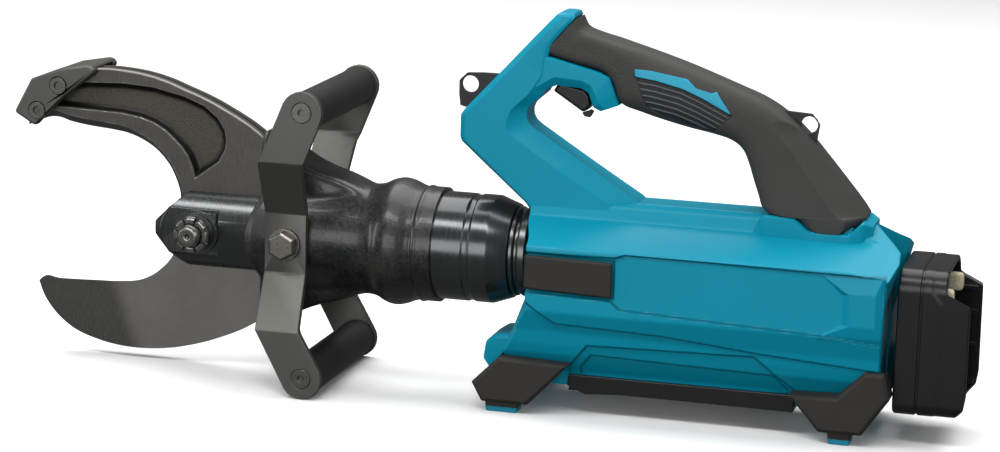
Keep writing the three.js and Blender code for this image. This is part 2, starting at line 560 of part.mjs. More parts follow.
function makePumpBlock() {
  const block = alongX([[30, -46], [30, 20], [22, 30], [-22, 30], [-30, 20], [-30, -46]], 285.4, 304.6);
  return cut(block, [turned(disc(15.5, 288, 310), 'x', 32, 0, 0, motorZ)]);
}

const makeSwivelBearing = () => turned(ring(26.3, 32, 262, 280), 'x', 40);

const makeTank = () => alongX([[28, -82], [30, -60], [24, -47], [-24, -47], [-30, -60], [-28, -82]], 290, 400, 2);
const makeBoard = () => union([box(436, 500, -26, 26, -40, -37), box(444, 490, -20, 20, -37.2, -26)]);

// Assembly
place('clevis', makeClevis(), 'blackOxide');
place('pivot_pin', makePivotPin(), 'blackOxide');
place('pivot_nut', makePivotNut(), 'blackOxide');
place('lock_washer', makeLockWasher(), 'blackOxide');
place('upper_jaw', makeUpperJaw(), 'forged');
place('lower_blade', makeLowerBlade(), 'bladeSteel');
place('tip_guide', makeTipGuide(), 'phosphate');
guideScrews.forEach(([x, z], i) => place(`guide_screw_${i + 1}`, makeGuideScrew(x, z), 'blackOxide'));
for (const [name, sign] of [['upper', 1], ['lower', -1]]) {
  place(`${name}_link`, makeLink(sign), 'blackOxide');
  place(`${name}_link_pin`, makeLinkPin(sign), 'chrome');
}
place('piston_rod', makePistonRod(), 'chrome');
place('rod_pin', turned(disc(linkPinR, -15.4, 15.4), 'y', 20, rodPinX), 'blackOxide');
place('return_spring', makeSpring(), 'zinc');
place('cylinder_barrel', makeBarrel(), 'cylinder');
place('swivel_neck', makeSwivelNeck(), 'blackOxide');
place('boot', makeBoot(), 'boot');
for (const { name, s } of sides) {
  place(`side_bar_${name}`, onSide(makeSideBar(), s), 'phosphate');
  place(`ring_bolt_${name}`, onSide(makeRingBolt(), s), 'zinc');
  place(`ring_washer_${name}`, onSide(makeRingWasher(), s), 'zinc');
}
for (const [name, centre] of [['top', topBar], ['bottom', bottomBar]]) {
  place(`grip_bar_${name}`, makeGripBar(centre), 'gripBar');
  for (const side of sides) {
    place(`grip_screw_${name}_${side.name}`, onSide(makeGripScrew(centre), side.s), 'blackOxide');
  }
}
const housing = makeHousing();
const footSeat = union([box(239.7, 530, -1, 36.3, -120, -40),
  alongX(fullSection(sectionHalf.map(([y, z]) => [y + 0.4, z])), 242.6, 530).intersect(
    alongY(bodySide.map(([x, z]) => [x > 400 ? x + 4 : x - 0.4, z]), -65, 65))]);
for (const { name, s } of sides) {
  place(`housing_${name}`, makeHousingHalf(housing, s), 'teal');
  place(`grip_${name}`, makeGripHalf(s), 'gripRubber');
  place(`side_pad_${name}`, onSide(makeSidePad(), s), 'padRubber');
  place(`foot_front_${name}`, onSide(cut(makeFoot(frontFoot, 231, 257), [footSeat]), s), 'padRubber');
  place(`foot_rear_${name}`, onSide(cut(makeFoot(rearFoot, 482, 500), [footSeat]), s), 'padRubber');
}
place('base_plate', makeBasePlate(), 'blackPlastic');
place('strap_eyelet_front', makeEyeletFront(), 'stamped');
place('strap_eyelet_rear', makeEyeletRear(), 'stamped');
place('battery_adapter', makeAdapter(), 'blackPlastic');
place('battery_bracket', makeBracket(), 'blackPlastic');
place('terminal_block', makeTerminalBlock(), 'blackPlastic');
[-29, 29].forEach((y, i) => place(`cushion_${i + 1}`, makeCushion(y), 'foam'));
place('trigger', makeTrigger(), 'blackPlastic');
place('lock_lever', makeLockLever(), 'blackPlastic');
place('switch_body', makeSwitchBody(), 'blackPlastic');
place('motor_can', makeMotorCan(), 'aluminium');
place('motor_rotor', makeRotor(), 'copper');
place('gear_case', makeGearCase(), 'aluminium');
place('pump_eccentric', makeEccentric(), 'chrome');
place('pump_block', makePumpBlock(), 'aluminium');
place('swivel_bearing', makeSwivelBearing(), 'chrome');
place('oil_tank', makeTank(), 'blackPlastic');
place('controller_board', makeBoard(), 'board');

const group = new THREE.Group();
group.add(datum);
group.updateMatrixWorld(true);

export default group;
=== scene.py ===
import json
import bmesh
import bpy
import numpy as np
from math import cos, pi, radians, sin
from mathutils import Matrix, Vector

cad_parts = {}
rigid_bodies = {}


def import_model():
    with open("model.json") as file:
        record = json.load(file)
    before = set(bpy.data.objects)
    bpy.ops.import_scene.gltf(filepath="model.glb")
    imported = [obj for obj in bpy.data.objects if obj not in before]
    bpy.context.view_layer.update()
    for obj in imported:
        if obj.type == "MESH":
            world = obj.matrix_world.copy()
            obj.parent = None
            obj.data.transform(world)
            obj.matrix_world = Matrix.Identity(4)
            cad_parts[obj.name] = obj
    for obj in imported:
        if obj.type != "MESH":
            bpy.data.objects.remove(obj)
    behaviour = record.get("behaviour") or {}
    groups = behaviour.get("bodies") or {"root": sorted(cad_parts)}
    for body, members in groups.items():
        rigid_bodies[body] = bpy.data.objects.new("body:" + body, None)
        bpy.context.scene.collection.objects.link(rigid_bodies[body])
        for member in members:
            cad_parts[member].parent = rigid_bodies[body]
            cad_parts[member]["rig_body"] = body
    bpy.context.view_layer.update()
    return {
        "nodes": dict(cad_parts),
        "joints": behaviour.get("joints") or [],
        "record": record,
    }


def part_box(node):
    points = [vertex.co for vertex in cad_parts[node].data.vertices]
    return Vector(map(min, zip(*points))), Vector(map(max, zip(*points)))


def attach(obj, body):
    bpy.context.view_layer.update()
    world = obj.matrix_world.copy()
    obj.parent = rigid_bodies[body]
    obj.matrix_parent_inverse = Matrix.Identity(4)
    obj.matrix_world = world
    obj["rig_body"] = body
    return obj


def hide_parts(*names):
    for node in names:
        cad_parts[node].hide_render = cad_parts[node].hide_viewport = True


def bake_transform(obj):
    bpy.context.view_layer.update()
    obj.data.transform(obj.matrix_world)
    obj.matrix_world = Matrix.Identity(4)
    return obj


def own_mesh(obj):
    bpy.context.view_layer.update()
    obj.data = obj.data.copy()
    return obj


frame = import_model()
print("frame loaded:", len(frame["nodes"]), "nodes")

mm = 0.001
pivot = np.array(next(j for j in frame["joints"] if j["name"] == "jaw_close")["pos_m"])
slotOf = {row["node"]: row["material_slot"] for row in frame["record"]["subparts"]}


# Places are given in millimetres from the jaw pivot, +X towards the battery end
def place(points):
    return np.asarray(points, float) * mm + pivot


# Camera and studio

camera = {"azimuth": 14.6, "elevation": 11.8, "roll": 1.7, "lens": 111.6, "distance": 2.28,
          "target": (0.01025, 0.0, 0.1268)}


def makeCamera():
    a, e, r = (radians(camera[k]) for k in ("azimuth", "elevation", "roll"))
    back = Vector((sin(a) * cos(e), -cos(a) * cos(e), sin(e)))
    right = Vector((cos(a), sin(a), 0))
    up = back.cross(right)
    x = right * cos(r) + up * sin(r)
    y = up * cos(r) - right * sin(r)
    data = bpy.data.cameras.new("studioCamera")
    data.lens = camera["lens"]
    data.sensor_width = 36
    data.clip_end = 50
    made = bpy.data.objects.new("studioCamera", data)
    spot = Vector(camera["target"]) + back * camera["distance"]
    made.matrix_world = Matrix((
        (x[0], y[0], back[0], spot[0]), (x[1], y[1], back[1], spot[1]),
        (x[2], y[2], back[2], spot[2]), (0, 0, 0, 1)))
    bpy.context.scene.collection.objects.link(made)
    bpy.context.scene.camera = made


studio = {
    "world": 0.17,
    "lamps": [  # name, place, target, width, height, power
        ("keyLamp", (-0.3, -1.35, 2.1), (0, 0, 0.1), 2.6, 0.45, 48),
        ("topLamp", (0.1, 0.9, 2.8), (0, 0, 0), 4.4, 2.4, 150),
        ("fillLamp", (-0.2, -2.5, 0.5), (0, 0, 0.1), 2.2, 1.0, 34),
        ("rightLamp", (1.7, -1.1, 0.8), (0.1, 0, 0.1), 0.25, 1.2, 8),
        ("leftLamp", (-1.8, -0.7, 0.5), (-0.2, 0, 0.1), 0.25, 1.2, 9)],
}


def makeStudio():
    world = bpy.data.worlds.new("studioWorld")
    world.use_nodes = True
    world.node_tree.nodes["Background"].inputs["Color"].default_value = (1, 1, 1, 1)
    world.node_tree.nodes["Background"].inputs["Strength"].default_value = studio["world"]
    bpy.context.scene.world = world
    bpy.context.scene.view_settings.view_transform = "Standard"
    for name, spot, target, width, height, power in studio["lamps"]:
        data = bpy.data.lights.new(name, "AREA")
        data.shape = "RECTANGLE"
        data.size = width
        data.size_y = height
        data.energy = power
        lamp = bpy.data.objects.new(name, data)
        lamp.location = spot
        lamp.rotation_euler = (Vector(target) - Vector(spot)).to_track_quat("-Z", "Y").to_euler()
        bpy.context.scene.collection.objects.link(lamp)


makeCamera()
makeStudio()
print("camera and studio ready")


# Shader writing: a Wire is one socket, and sums on wires become Math nodes

class Wire:
    def __init__(self, kit, socket):
        self.kit, self.socket = kit, socket

    def sum(self, operation, other, swap=False):
        pair = (other, self) if swap else (self, other)
        return self.kit.node("ShaderNodeMath", {"operation": operation}, {0: pair[0], 1: pair[1]})

    def __add__(self, other): return self.sum("ADD", other)
    def __radd__(self, other): return self.sum("ADD", other, True)
    def __sub__(self, other): return self.sum("SUBTRACT", other)
    def __rsub__(self, other): return self.sum("SUBTRACT", other, True)
    def __mul__(self, other): return self.sum("MULTIPLY", other)
    def __rmul__(self, other): return self.sum("MULTIPLY", other, True)


class Finish:
    def __init__(self, name):
        self.material = bpy.data.materials.new(name)
        self.material.use_nodes = True
        self.tree = self.material.node_tree
        self.tree.nodes.clear()
        self.place = self.node("ShaderNodeTexCoord", out="Object")
        split = self.tree.nodes.new("ShaderNodeSeparateXYZ")
        self.tree.links.new(self.place.socket, split.inputs[0])
        self.x, self.y, self.z = (Wire(self, split.outputs[i]) for i in range(3))

    def node(self, kind, settings=None, inputs=None, out=0):
        made = self.tree.nodes.new(kind)
        for key, value in (settings or {}).items():
            setattr(made, key, value)
        for key, value in (inputs or {}).items():
            if isinstance(value, Wire):
                self.tree.links.new(value.socket, made.inputs[key])
            else:
                made.inputs[key].default_value = value
        return Wire(self, made.outputs[out])

    def stretched(self, scale, turn=(0, 0, 0)):
        return self.node("ShaderNodeMapping", None, {"Vector": self.place, "Scale": scale, "Rotation": turn})

    def noise(self, scale, detail=3.0, roughness=0.55, at=None):
        return self.node("ShaderNodeTexNoise", None, {
            "Vector": at or self.place, "Scale": scale, "Detail": detail, "Roughness": roughness})

    def cells(self, scale, feature="F1"):
        return self.node("ShaderNodeTexVoronoi", {"feature": feature}, {
            "Vector": self.place, "Scale": scale})

    def between(self, value, low, high, toLow=0.0, toHigh=1.0):
        return self.node("ShaderNodeMapRange", {"interpolation_type": "SMOOTHSTEP"}, {
            "Value": value, "From Min": low, "From Max": high, "To Min": toLow, "To Max": toHigh})

    def blendColour(self, factor, a, b):
        made = self.tree.nodes.new("ShaderNodeMix")
        made.data_type = "RGBA"
        for index, value in ((0, factor), (6, a), (7, b)):
            if isinstance(value, Wire):
                self.tree.links.new(value.socket, made.inputs[index])
            else:
                made.inputs[index].default_value = value if index == 0 else (*value, 1)
        return Wire(self, made.outputs[2])

    def finish(self, colour, rough, metal=0.0, height=None, depth=0.0002, coat=0.0, specular=0.28):
        shader = self.tree.nodes.new("ShaderNodeBsdfPrincipled")
        shader.inputs["Specular IOR Level"].default_value = specular
        values = {"Base Color": colour, "Roughness": rough, "Metallic": metal, "Coat Weight": coat}
        for key, value in values.items():
            if isinstance(value, Wire):
                self.tree.links.new(value.socket, shader.inputs[key])
            elif key == "Base Color":
                shader.inputs[key].default_value = (*value, 1)
            else:
                shader.inputs[key].default_value = value
        if height is not None:
            bump = self.node("ShaderNodeBump", None, {"Height": height, "Distance": depth, "Strength": 1.0})
            self.tree.links.new(bump.socket, shader.inputs["Normal"])
        output = self.tree.nodes.new("ShaderNodeOutputMaterial")
        self.tree.links.new(shader.outputs[0], output.inputs[0])
        return self.material


def scaled(colour, factor):
    return tuple(c * factor for c in colour)


# A moulded or coated surface: slow colour drift, fine grain in roughness and height
def makeCoated(name, colour, rough, metal=0.0, grain=900, depth=0.00004):
    f = Finish(name)
    drift = 0.12
    slow = f.noise(14, 2)
    fine = f.noise(grain, 2)
    shade = f.blendColour(slow, scaled(colour, 1 - drift), scaled(colour, 1 + drift))
    return f.finish(shade, rough - 0.07 + 0.14 * fine, metal, fine, depth)


# A turned or ground metal: fine lines along one direction over a slow stain
def makeGround(name, colour, rough, metal, lines, depth=0.00002, contrast=0.25, grain=0.0):
    f = Finish(name)
    streaks = f.noise(1.0, 3, 0.6, f.stretched(lines))
    stain = f.noise(22, 4, 0.6)
    dark, light = scaled(colour, 1 - contrast), scaled(colour, 1 + contrast)
    shade = f.blendColour(streaks * 0.7 + stain * 0.3, dark, light)
    brightEdge = f.node("ShaderNodeAttribute", {"attribute_name": "brightEdge"}, out="Fac")
    shade = f.blendColour(brightEdge, shade, (0.32, 0.31, 0.29))
    height = streaks + f.noise(1300, 2) * grain
    return f.finish(shade, rough - 0.1 + 0.2 * streaks, metal, height, depth)


def makeTeal():
    f = Finish("tealPlastic")
    base = (0.001, 0.2, 0.295)
    slow = f.noise(9, 2)
    pores = f.noise(1500, 2)
    groove = f.node("ShaderNodeAttribute", {"attribute_name": "groove"}, out="Fac")
    shade = f.blendColour(slow, scaled(base, 0.93), scaled(base, 1.07))
    # Painted shade: the groove attribute darkens the colour along the housing's panel lines and step
    shade = f.blendColour(groove * 0.75, shade, scaled(base, 0.25))
    return f.finish(shade, 0.33 + 0.1 * pores, 0, pores, 0.00003, specular=0.14)


def makeGripRubber():
    f = Finish("gripRubber")
    inlay = f.node("ShaderNodeAttribute", {"attribute_name": "inlay"}, out="Fac")
    strip = f.between(inlay, 1.4, 1.6)
    panel = f.between(inlay, 0.4, 0.6)
    groove = f.node("ShaderNodeAttribute", {"attribute_name": "groove"}, out="Fac")
    leather = f.cells(520, feature="SMOOTH_F1")
    pores = f.noise(1400, 2)
    rubber = f.blendColour(f.noise(40, 3), (0.026, 0.0255, 0.024), (0.036, 0.035, 0.033))
    dark = f.blendColour(panel, rubber, (0.012, 0.013, 0.014))
    lined = f.blendColour(groove, dark, (0.085, 0.1, 0.105))
    shade = f.blendColour(strip, lined, (0.008, 0.24, 0.36))
    grained = f.between(f.x, place((318, 0, 0))[0], place((352, 0, 0))[0], 1.0, 0.25)
    height = leather * grained * (1 - panel) + pores * 0.15
    return f.finish(shade, 0.6 - 0.22 * strip + 0.1 * pores, 0, height, 0.00032, specular=0.26)


def makePadRubber():
    f = Finish("padRubber")
    fine = f.noise(1100, 3)
    rubber = f.blendColour(f.noise(25, 3), (0.016, 0.015, 0.0135), (0.024, 0.0225, 0.02))
    low, high = (place((0, 0, z))[2] for z in (-105.7, -105.5))
    sole = f.between(f.z, low, high, 1.0, 0.0)  # the wear pads below are teal
    shade = f.blendColour(sole, rubber, (0.003, 0.16, 0.24))
    return f.finish(shade, 0.58 + 0.12 * fine, 0, fine, 0.00006, specular=0.22)


def makeBootRubber():
    f = Finish("bootRubber")
    patches = f.noise(26, 5, 0.65)
    speckle = f.noise(420, 4, 0.7)
    dusty = f.between(patches * 0.6 + speckle * 0.4, 0.42, 0.62)
    shade = f.blendColour(dusty, (0.004, 0.0045, 0.005), (0.013, 0.013, 0.012))
    rough = 0.24 + 0.18 * dusty + 0.12 * speckle
    return f.finish(shade, rough, 0, speckle * 0.6 + patches, 0.00025, coat=0.12, specular=0.42)


def makeBladeSteel():
    f = Finish("bladeSteel")
    lines = f.noise(1.0, 3, 0.65, f.stretched((90, 400, 2600), (0, radians(16), 0)))
    cross = f.noise(1.0, 2, 0.6, f.stretched((1500, 300, 140), (0, radians(-30), 0)))
    stain = f.noise(28, 5, 0.65)
    ground = f.blendColour(lines * 0.6 + stain * 0.4, (0.075, 0.073, 0.07), (0.22, 0.213, 0.2))
    tip = f.between(f.x * 0.94 + f.z * 0.34, tipLine - 0.01, tipLine + 0.006, 1.0, 0.0)
    polished = f.blendColour(cross, (0.035, 0.035, 0.035), (0.13, 0.127, 0.12))
    shade = f.blendColour(tip, ground, polished)
    return f.finish(shade, 0.36 + 0.2 * lines - 0.08 * tip, 0.92, lines * (1 - 0.6 * tip), 0.00005)


# Spans in millimetres of depth into the recess and of distance from the cutting edge and the rim
forging = {"cast": (3.2, 6.5), "mouth": (0.2, 1.4), "floor": (3.0, 6.0), "grindLine": 7.6, "lineHalf": 0.7,
           "ground": (6.8, 7.8), "cuttingEdge": (0.5, 1.1), "rim": (0.4, 1.3)}


def makeForged():
    f = Finish("forgedSteel")
    recess, edge, rim = (f.node("ShaderNodeAttribute", {"attribute_name": key}, out="Fac")
                         for key in ("recess", "edge", "rim"))
    scratches = f.noise(1.0, 3, 0.65, f.stretched((2100, 300, 110), (0, radians(-48), 0)))
    pits = f.noise(560, 4, 0.75)
    stain = f.noise(24, 4, 0.6)
    machined = f.blendColour(scratches * 0.75 + stain * 0.25, (0.016, 0.0155, 0.015), (0.13, 0.126, 0.118))
    cast = f.blendColour(pits, (0.022, 0.02, 0.017), (0.115, 0.107, 0.09))
    # Painted shade: the recess wall is darkened to near black until the cast floor colour takes over deeper
    # in
    shade = f.blendColour(f.between(recess, *forging["cast"]), (0.018, 0.0175, 0.017), cast)
    shade = f.blendColour(f.between(recess, *forging["mouth"]), machined, shade)
    ground = f.between(edge, *forging["ground"], 1.0, 0.0)
    shade = f.blendColour(ground, shade, (0.028, 0.0275, 0.027))
    line, half = edge - forging["grindLine"], forging["lineHalf"]
    # Painted highlight: the cutting edge, the grind line, the recess lip and the outer rim are lightened
    # towards grey
    bright = f.between(edge, *forging["cuttingEdge"], 1.0, 0.0)
    bright = bright + f.between(line, -half, 0.0) * f.between(line, 0.0, half, 1.0, 0.0) * 0.5
    lip = f.between(recess, -half, 0.0) * f.between(recess, 0.1, 0.8, 1.0, 0.0)
    brightEdge = bright + lip * 0.7 + f.between(rim, *forging["rim"], 0.8, 0.0)
    brightEdge = f.node("ShaderNodeClamp", None, {"Value": brightEdge})
    shade = f.blendColour(brightEdge, shade, (0.3, 0.29, 0.27))
    floor = f.between(recess, *forging["floor"])
    height = scratches * 0.3 * (1 - floor) + pits * 1.8 * floor
    return f.finish(shade, 0.33 + 0.14 * scratches + 0.18 * floor, 0.85, height, 0.0002)


tipLine = place((-64, 0, 0))[0] * 0.94 + place((0, 0, -80))[2] * 0.34


def makeFoam():
    f = Finish("creamFoam")
    cellsHere = f.cells(900)
    shade = f.blendColour(cellsHere, (0.34, 0.3, 0.2), (0.6, 0.55, 0.4))
    return f.finish(shade, 0.95, 0, cellsHere, 0.0003)


finishes = {
    "teal_plastic": makeTeal(), "grip_rubber": makeGripRubber(), "pad_rubber": makePadRubber(),
    "boot_rubber": makeBootRubber(), "blade_steel": makeBladeSteel(), "forged_steel": makeForged(),
    "cream_foam": makeFoam(),
    "black_plastic": makeCoated("blackPlastic", (0.006, 0.006, 0.0065), 0.31, grain=1500, depth=0.00003),
    "black_oxide": makeGround("blackOxide", (0.075, 0.079, 0.079), 0.25, 0.9, (1500, 60, 60), contrast=0.12,
                              depth=0.000008),
    "phosphate": makeGround("phosphate", (0.085, 0.084, 0.077), 0.46, 0.75, (500, 500, 90), contrast=0.12,
                            depth=0.00003, grain=0.8),
    "grip_bar_black": makeCoated("gripBarBlack", (0.011, 0.0105, 0.01), 0.5, 0.1, 700, 0.00008),
    "cylinder_black": makeGround("cylinderBlack", (0.06, 0.062, 0.064), 0.2, 0.8, (900, 20, 20),
                                 contrast=0.1),
    "zinc_steel": makeGround("zincSteel", (0.18, 0.17, 0.153), 0.3, 0.95, (500, 500, 500), contrast=0.2),
    "ground_steel": makeGround("groundSteel", (0.55, 0.55, 0.54), 0.16, 1.0, (1500, 60, 60), contrast=0.08),
    "stamped_steel": makeCoated("stampedSteel", (0.02, 0.02, 0.02), 0.42, 0.4, 1200, 0.00004),
    "drive_aluminium": makeCoated("driveAluminium", (0.42, 0.42, 0.43), 0.42, 0.9, 800, 0.00006),
    "rotor_copper": makeGround("rotorCopper", (0.55, 0.27, 0.13), 0.35, 0.9, (2600, 60, 60)),
    "board_green": makeCoated("boardGreen", (0.02, 0.11, 0.05), 0.4, grain=400),
}
screwFinish = makeGround("screwSteel", (0.12, 0.118, 0.112), 0.3, 0.85, (500, 500, 500), contrast=0.2)
print("finishes ready:", len(finishes) + 1)


# Mesh helpers

def makeObject(name, mesh, angle=32):
    mesh.shade_smooth()
    mesh.set_sharp_from_angle(angle=radians(angle))
    made = bpy.data.objects.new(name, mesh)
    bpy.context.scene.collection.objects.link(made)
    return made


weldWithin = 2e-7  # metres


# A grid of points becomes quads; wrapU and wrapV close it, and doubled points are welded
def makeGrid(name, points, wrapU=False, wrapV=False, angle=32, values=None):
    rows, columns = points.shape[:2]
    ids = np.arange(rows * columns).reshape(rows, columns)
    if wrapU:
        ids = np.vstack([ids, ids[:1]])
    if wrapV:
        ids = np.hstack([ids, ids[:, :1]])
    quads = np.stack([ids[:-1, :-1], ids[1:, :-1], ids[1:, 1:], ids[:-1, 1:]], -1).reshape(-1, 4)
    mesh = bpy.data.meshes.new(name)
    mesh.from_pydata(place(points.reshape(-1, 3)), [], quads)
    for key, value in (values or {}).items():
        layer = mesh.attributes.new(key, "FLOAT", "POINT")
        layer.data.foreach_set("value", value.reshape(-1).astype(np.float32))
    work = bmesh.new()
    work.from_mesh(mesh)
    bmesh.ops.remove_doubles(work, verts=work.verts, dist=weldWithin)
    bmesh.ops.recalc_face_normals(work, faces=work.faces)
    work.to_mesh(mesh)
    work.free()
    return makeObject(name, mesh, angle)


# Corners of a polyline are rounded by short curves that stay within the radius of the corner
def softened(points, radius, steps=4):
    p = np.asarray(points, float)
    before, after = p[:-2] - p[1:-1], p[2:] - p[1:-1]
    a, b = (np.linalg.norm(v, axis=1, keepdims=True) for v in (before, after))
    first = p[1:-1] + before / a * np.minimum(radius, a * 0.45)
    last = p[1:-1] + after / b * np.minimum(radius, b * 0.45)
    t = np.linspace(0, 1, steps + 1)[None, :, None]
    curves = (1 - t) ** 2 * first[:, None] + 2 * t * (1 - t) * p[1:-1, None] + t ** 2 * last[:, None]
    return np.vstack([p[:1], curves.reshape(-1, p.shape[1]), p[-1:]])


# Even steps along a polyline
def evenly(points, count):
    p = np.asarray(points, float)
    run = np.concatenate([[0], np.cumsum(np.linalg.norm(np.diff(p[:, :2], axis=0), axis=1))])
    t = np.linspace(0, run[-1], count)
    return np.stack([np.interp(t, run, p[:, i]) for i in range(p.shape[1])], 1)


def ease(value, low, high):
    t = np.clip((value - low) / (high - low), 0, 1)
    return t * t * (3 - 2 * t)


# Distance in millimetres to the nearest of some line segments
def distanceToLine(line, px, pz):
    c, best = np.asarray(line, float), np.full(px.shape, 1e9)
    for (ax, az), (bx, bz) in zip(c[:-1], c[1:]):
        dx, dz = bx - ax, bz - az
        t = np.clip(((px - ax) * dx + (pz - az) * dz) / (dx * dx + dz * dz), 0, 1)
        best = np.minimum(best, np.hypot(px - ax - t * dx, pz - az - t * dz))
    return best


# Signed distance to a closed outline, negative inside
def distanceTo(outline, px, pz):
    c = np.asarray(outline, float)
    best, inside = distanceToLine(np.vstack([c, c[:1]]), px, pz), np.zeros(px.shape, bool)
    for (ax, az), (bx, bz) in zip(c, np.roll(c, -1, 0)):
        dx, dz = bx - ax, bz - az
        crosses = (az > pz) != (bz > pz)
        inside ^= crosses & (px < ax + (pz - az) / (dz if dz else 1e-9) * dx)
    return np.where(inside, -best, best)


# Points of a grid's first and last columns are drawn together to close its ends
def capped(points):
    first, last = (points[:, i:i + 1].mean(0, keepdims=True).repeat(len(points), 0)
                   for i in (0, points.shape[1] - 1))
    return np.concatenate([first, points, last], 1)


# Catmull-Rom curve through the rows of a table
def through(table, count):
    rows = np.asarray(table, float)
    p = np.vstack([2 * rows[0] - rows[1], rows, 2 * rows[-1] - rows[-2]])
    t = np.linspace(0, len(rows) - 1, count)
    i = np.minimum(t.astype(int), len(rows) - 2)
    f = (t - i)[:, None]
    a, b, c, d = p[i], p[i + 1], p[i + 2], p[i + 3]
    return 0.5 * (2 * b + (c - a) * f + (2 * a - 5 * b + 4 * c - d) * f ** 2
                  + (3 * b - a - 3 * c + d) * f ** 3)


# A profile of (radius, station) rows turned about an axis along X through the head's centre
def makeTurned(name, profile, steps=144, radius=0.8, angle=32):
    rows = softened(profile, radius)
    a = np.linspace(0, 2 * pi, steps, endpoint=False)[:, None]
    r, x = rows[None, :, 0], rows[None, :, 1]
    points = np.stack([x + 0 * a, r * np.cos(a), r * np.sin(a)], -1)
    return makeGrid(name, points, wrapU=True, angle=angle)


def finishPiece(piece, nodes, body=None):
    first = nodes[0]
    piece.data.materials.clear()
    piece.data.materials.append(screwFinish if "screw" in first else finishes[slotOf[first]])
    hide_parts(*nodes)
    if body is None:
        body = frame["nodes"][first]["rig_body"]
    if body:
        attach(piece, body)
    return piece


# A CAD part's own shape with welded points, flat faces joined and its edges broken by a small bevel
def dressNode(node, width, segments=2, angle=28):
    work = bmesh.new()
    work.from_mesh(frame["nodes"][node].data)
    bmesh.ops.remove_doubles(work, verts=work.verts, dist=5e-6)
    bmesh.ops.dissolve_limit(work, angle_limit=radians(0.8), verts=work.verts, edges=work.edges)
    bmesh.ops.recalc_face_normals(work, faces=work.faces)
    mesh = bpy.data.meshes.new(node + "_dressed")
    work.to_mesh(mesh)
    work.free()
    piece = makeObject(node + "_dressed", mesh, angle)
    bevel = piece.modifiers.new("edges", "BEVEL")
    bevel.width = width * mm
    bevel.segments = segments
    bevel.limit_method = "ANGLE"
    bevel.angle_limit = radians(angle)
    bevel.use_clamp_overlap = False
    bevel.harden_normals = True
    return finishPiece(piece, [node])


edgeWidths = {  # bevel width in millimetres for each dressed part
    "clevis": 0.7, "lock_washer": 0.4, "tip_guide": 0.8, "guide_screw_1": 0.3, "guide_screw_2": 0.3,
    "side_bar_left": 0.7, "side_bar_right": 0.7, "ring_bolt_left": 0.5, "ring_bolt_right": 0.5,
    "ring_washer_left": 0.4, "ring_washer_right": 0.4, "grip_screw_top_left": 0.3,
    "grip_screw_top_right": 0.3, "grip_screw_bottom_left": 0.3, "grip_screw_bottom_right": 0.3,
    "side_pad_left": 0.7, "side_pad_right": 0.7,
    "foot_front_left": 0.8, "foot_front_right": 0.8, "foot_rear_left": 0.8, "foot_rear_right": 0.8,
    "base_plate": 0.8, "strap_eyelet_front": 0.4, "strap_eyelet_rear": 0.4, "terminal_block": 0.3,
    "trigger": 0.8, "lock_lever": 0.5,
}
for node, width in edgeWidths.items():
    dressNode(node, width)
print("dressed parts:", len(edgeWidths))

for node, obj in frame["nodes"].items():  # parts inside keep their CAD shape
    if not obj.hide_render:
        for slot in obj.material_slots:
            slot.material = finishes[slotOf[node]]


# Jaws: plates ruled between an outer and an inner line; the carved face is
# y(x, z) = face + recess(distance to its outline) + grind(distance to the edge)
upperJaw = {
    "outer": [(-141, 79), (-131.5, 100), (-120, 106), (-104, 111.5), (-87.7, 115.5), (-75, 116.2),
              (-61.6, 115.5), (-50, 114.3), (-38.8, 112.2), (-27, 108.9), (-16.1, 104.8), (-4, 100.6),
              (8.2, 95.6), (24.3, 87.6), (36, 81.2), (46, 74.2), (54, 65.5), (60.5, 54), (64.5, 42),
              (64.5, 30)],
    "inner": [(-139.8, 69), (-134, 72.2), (-129, 73.6), (-123.1, 74.4), (-118, 73.6), (-112.4, 71.6),
              (-103, 70), (-92.5, 68.8), (-80, 67.8), (-67.8, 66.4), (-59.5, 64.2),
              (-51.4, 60.7), (-44.5, 56.8),
              (-38.2, 51.5), (-31, 43), (-26, 33), (-22.5, 22), (-24, 10)],
    "recess": [(-122, 84.6), (-90, 83.6), (-64.7, 82.8), (-50, 80.6), (-40.2, 77.6), (-31, 72.6),
               (-23.9, 66.6), (-17, 60), (-12.4, 53.8), (-8.6, 45), (-6.6, 37.4), (2, 44), (11.9, 51.3),
               (17, 61), (18.1, 68), (16.6, 76), (11, 84.6), (0.1, 93.2), (-16, 99.2), (-40.4, 104.4),
               (-64.8, 105.8), (-94.2, 104.5), (-118, 99)],
    "grind": 7.5, "recessDepth": 5.4, "recessWall": 6.0, "tail": 1,
}
lowerJaw = {
    "outer": [(-138.9, -55), (-135.5, -65), (-130.8, -72.4), (-124, -80.4), (-115.6, -87.2), (-108, -91.7),
              (-98.8, -95.2), (-85, -98.8), (-70.2, -100.9), (-55, -101.3), (-40.2, -100.2), (-26, -98),
              (-12.1, -94.4), (0, -90.6), (12.5, -85.6), (26, -79.5), (40.1, -71), (46, -67.8), (54, -62),
              (60.5, -54), (64.5, -42), (64.5, -30)],
    "inner": [(-138.2, -54.4), (-136, -52), (-131.6, -50.6), (-124.1, -52.4), (-108, -52), (-93.8, -51.4),
              (-78, -50.9), (-63.8, -49.6), (-57, -48.2), (-50.6, -45.6), (-44.5, -42), (-39, -37.5),
              (-33.5, -32), (-29.2, -25.6), (-27, -12)],
    "grind": 15, "tail": -1,
}
pinAt = 62 * np.array([cos(radians(28)), sin(radians(28))])
plate = {"thick": 16, "middleGap": 0.15, "grindDepth": 13.6, "chamfer": 1.2, "wallPower": 2.4}


